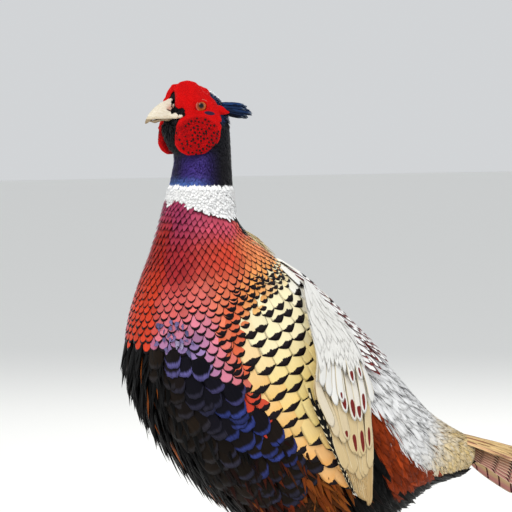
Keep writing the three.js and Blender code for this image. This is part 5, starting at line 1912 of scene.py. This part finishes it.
def tuftFinish(name):
    finish = Finish("tuftBlue_" + name, roughness=0.42, Metallic=0.25)
    across, v, chance = finish.vane()
    streaks = streaksOf(finish, across, v, chance, 5.0, 1.2)
    colour = shaded(finish, finish.paint("ground"), streaks, 0.6, 1.5)
    tip = v.rises(0.86, 1.0) * chance.rises(0.5, 0.8)
    finish.colour(finish.mixed(tip * 0.7, colour, finish.paint("edging")))
    finish.bump(streaks, 0.4, 0.0003)
    return finish


def layHead():
    layFaceSkin(-1)
    layFaceSkin(1)
    layBill()
    layCrown()
    layEarTuft(-1)
    layEarTuft(1)
    sayStage("head")


# The legs. Lengths in mm. The thigh's feathers lie on rings from the hock up, each ring across the leg.
thigh = dict(
    line=[(13, 36, 86), (14, 36, 96), (4, 37, 116), (-8, 38, 140), (-8, 40, 165), (6, 42, 188),
          (22, 44, 206)],
    radii=[8, 9, 11, 17, 22, 24, 22], rings=70, turns=48, around=26, spacing=0.5, first=5.4, last=0.75,
    length=(20, 30), halfWidth=(2.4, 3.8), shortBelow=(98, 140),
    lift=(2.2, 3.6), cut=dict(columns=5, rows=6, shoulder=0.5, rise=0.5, camber=0.2, ragged=0.12, taper=0.6),
    dark=fromScreen(58, 36, 22), gold=fromScreen(196, 132, 62),
)


def thighChart(side):
    name = sideName(side)
    tree = treeOfNodes(["thigh_" + name, "tarsus_" + name])
    centres = smoothCurve(thigh["line"], thigh["rings"]) * np.array([1, side, 1]) * mm
    centres = centres + np.array([cadShift, 0, 0])
    tangents = unit(np.gradient(centres, axis=0))
    outs = np.tile(np.array([0.0, float(side), 0.0]), (len(centres), 1))
    outs = unit(outs - tangents * (outs * tangents).sum(1, keepdims=True))
    grid = roundGrid(tree, centres, outs, unit(np.cross(tangents, outs)), thigh["turns"])
    limits = np.interp(np.linspace(0, 1, len(centres)), np.linspace(0, 1, len(thigh["radii"])),
                       thigh["radii"]) * mm
    reach = grid - centres[:, None]
    length = np.linalg.norm(reach, axis=2)
    grid = centres[:, None] + reach * (np.minimum(length, limits[:, None]) / length)[..., None]
    return Chart(grid, len(thigh["line"]))


def layThigh(side):
    name = sideName(side)
    chance = np.random.default_rng(111)
    roots = latticeOn(thighChart(side), thigh)
    roots = roots.moved(chance, 0.5)
    ground = blend(thigh["dark"], thigh["gold"],
                   softStep(roots.x, -6, 10) * softStep(roots.z, 120, 190) * roots.drawn(chance, 0.3, 1))
    shorter = 0.35 + 0.65 * softStep(roots.z, *thigh["shortBelow"])
    sizes = dict(length=roots.drawn(chance, *thigh["length"]) * shorter * mm,
                 width=roots.drawn(chance, *thigh["halfWidth"]) * mm,
                 lift=roots.drawn(chance, *thigh["lift"]) * mm, yaw=roots.jitter(chance, 0.08),
                 sink=-0.2 * mm)
    layCoat("thighFeathers_" + name, roots, thigh["cut"], sizes,
            dict(ground=varied(chance, ground, 0.2), edging=ground * 0.7),
            dict(chance=roots.drawn(chance), tick=0), strandFinish("thigh_" + name))


leg = dict(
    voxel=0.9, scale=3.2, hock=(14, 36, 97), hockSize=(6.2, 5.4, 8.0), pale=fromScreen(150, 142, 128),
    dusk=fromScreen(82, 76, 68), claw=fromScreen(44, 38, 34), clawTip=fromScreen(104, 92, 78),
)


def legFinish(name):
    # overlapping plates in front and round scales between them
    finish = Finish("legScales_" + name, roughness=0.5, gleam=0.3)
    where = finish.node("ShaderNodeTexCoord", out="Object")
    long = finish.node("ShaderNodeMapping", {}, {0: where, 2: (0.0, 0.3, 0.0), 3: (1.0, 0.55, 0.8)})
    cells = finish.node("ShaderNodeTexVoronoi", dict(feature="DISTANCE_TO_EDGE"),
                        {"Vector": long, "Scale": 1000.0 / leg["scale"], "Randomness": 0.55})
    groove = cells.falls(0.02, 0.16)
    grain = finish.noise(900.0, 3.0)
    colour = finish.mixed(grain.rises(0.3, 0.7), leg["pale"], fromScreen(122, 112, 98))
    finish.colour(finish.mixed(groove * 0.85, colour, leg["dusk"]))
    finish.bump(grain * 0.3 - groove, 0.8, 0.0006)
    return finish


def hornFinish(name):
    finish = Finish("claws_" + name, roughness=0.36, gleam=0.4)
    grain = finish.noise(600.0, 3.0, distortion=1.5)
    finish.colour(finish.mixed(grain.rises(0.4, 0.75) * 0.7, leg["claw"], leg["clawTip"]))
    finish.bump(grain, 0.3, 0.0003)
    return finish


def layLeg(side):
    name = sideName(side)
    layThigh(side)
    shank = mergedCopy("legSkin_" + name, ["tarsus_" + name, "foot_" + name])
    addModifier(shank, "DISPLACE", strength=0.25 * mm, mid_level=0.0)
    applyModifiers(shank)
    hock = addBall(leg["hock"], leg["hockSize"], side)
    shank = joined([shank, hock], "legSkin_" + name)
    remade(shank, leg["voxel"], 3)
    settle(shank, legFinish(name), "leg_scales", "tarsus_" + name, "foot_" + name)
    horn = hornFinish(name)
    for part in ("spur", "claw_inner", "claw_middle", "claw_outer", "claw_hind"):
        node = part + "_" + name
        words = part.split("_")
        claw = mergedCopy(words[0] + "".join(word.capitalize() for word in words[1:]) + "Horn_" + name,
                          [node])
        addModifier(claw, "SUBSURF", levels=2, render_levels=2)
        applyModifiers(claw)
        bpy.ops.object.shade_smooth()
        settle(claw, horn, "claw", node)


def layLegs():
    layLeg(-1)
    layLeg(1)
    sayStage("legs")


sayStage("frame loaded")
addCamera()
addLights()
addFloor()
flesh = ["torso", "rump", "neck", "head"]
bodyOnly = fleshOf("bodyOnly", flesh)
chart = bodyChart(treeOf(bodyOnly))
skin = fleshOf("skin", flesh + ["thigh_left", "thigh_right"])
bpy.data.objects.remove(bodyOnly)
finish = Finish("skin", roughness=0.8)
finish.colour(shaded(finish, finish.paint("ground"), finish.noise(300.0), 0.6, 1.2))
skin.data.materials.append(finish.material)
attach(skin, "root")
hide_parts(*flesh, "thigh_left", "thigh_right")
sayStage("skin and its chart")
layBody()
layWing(-1)
layWing(1)
layScapulars()
layTail()
layTailCoverts()
layHead()
layLegs()
# the skin at half the coat's colour: painted shade under the feathers, and darker down
paintSkin(skin, 0.5)
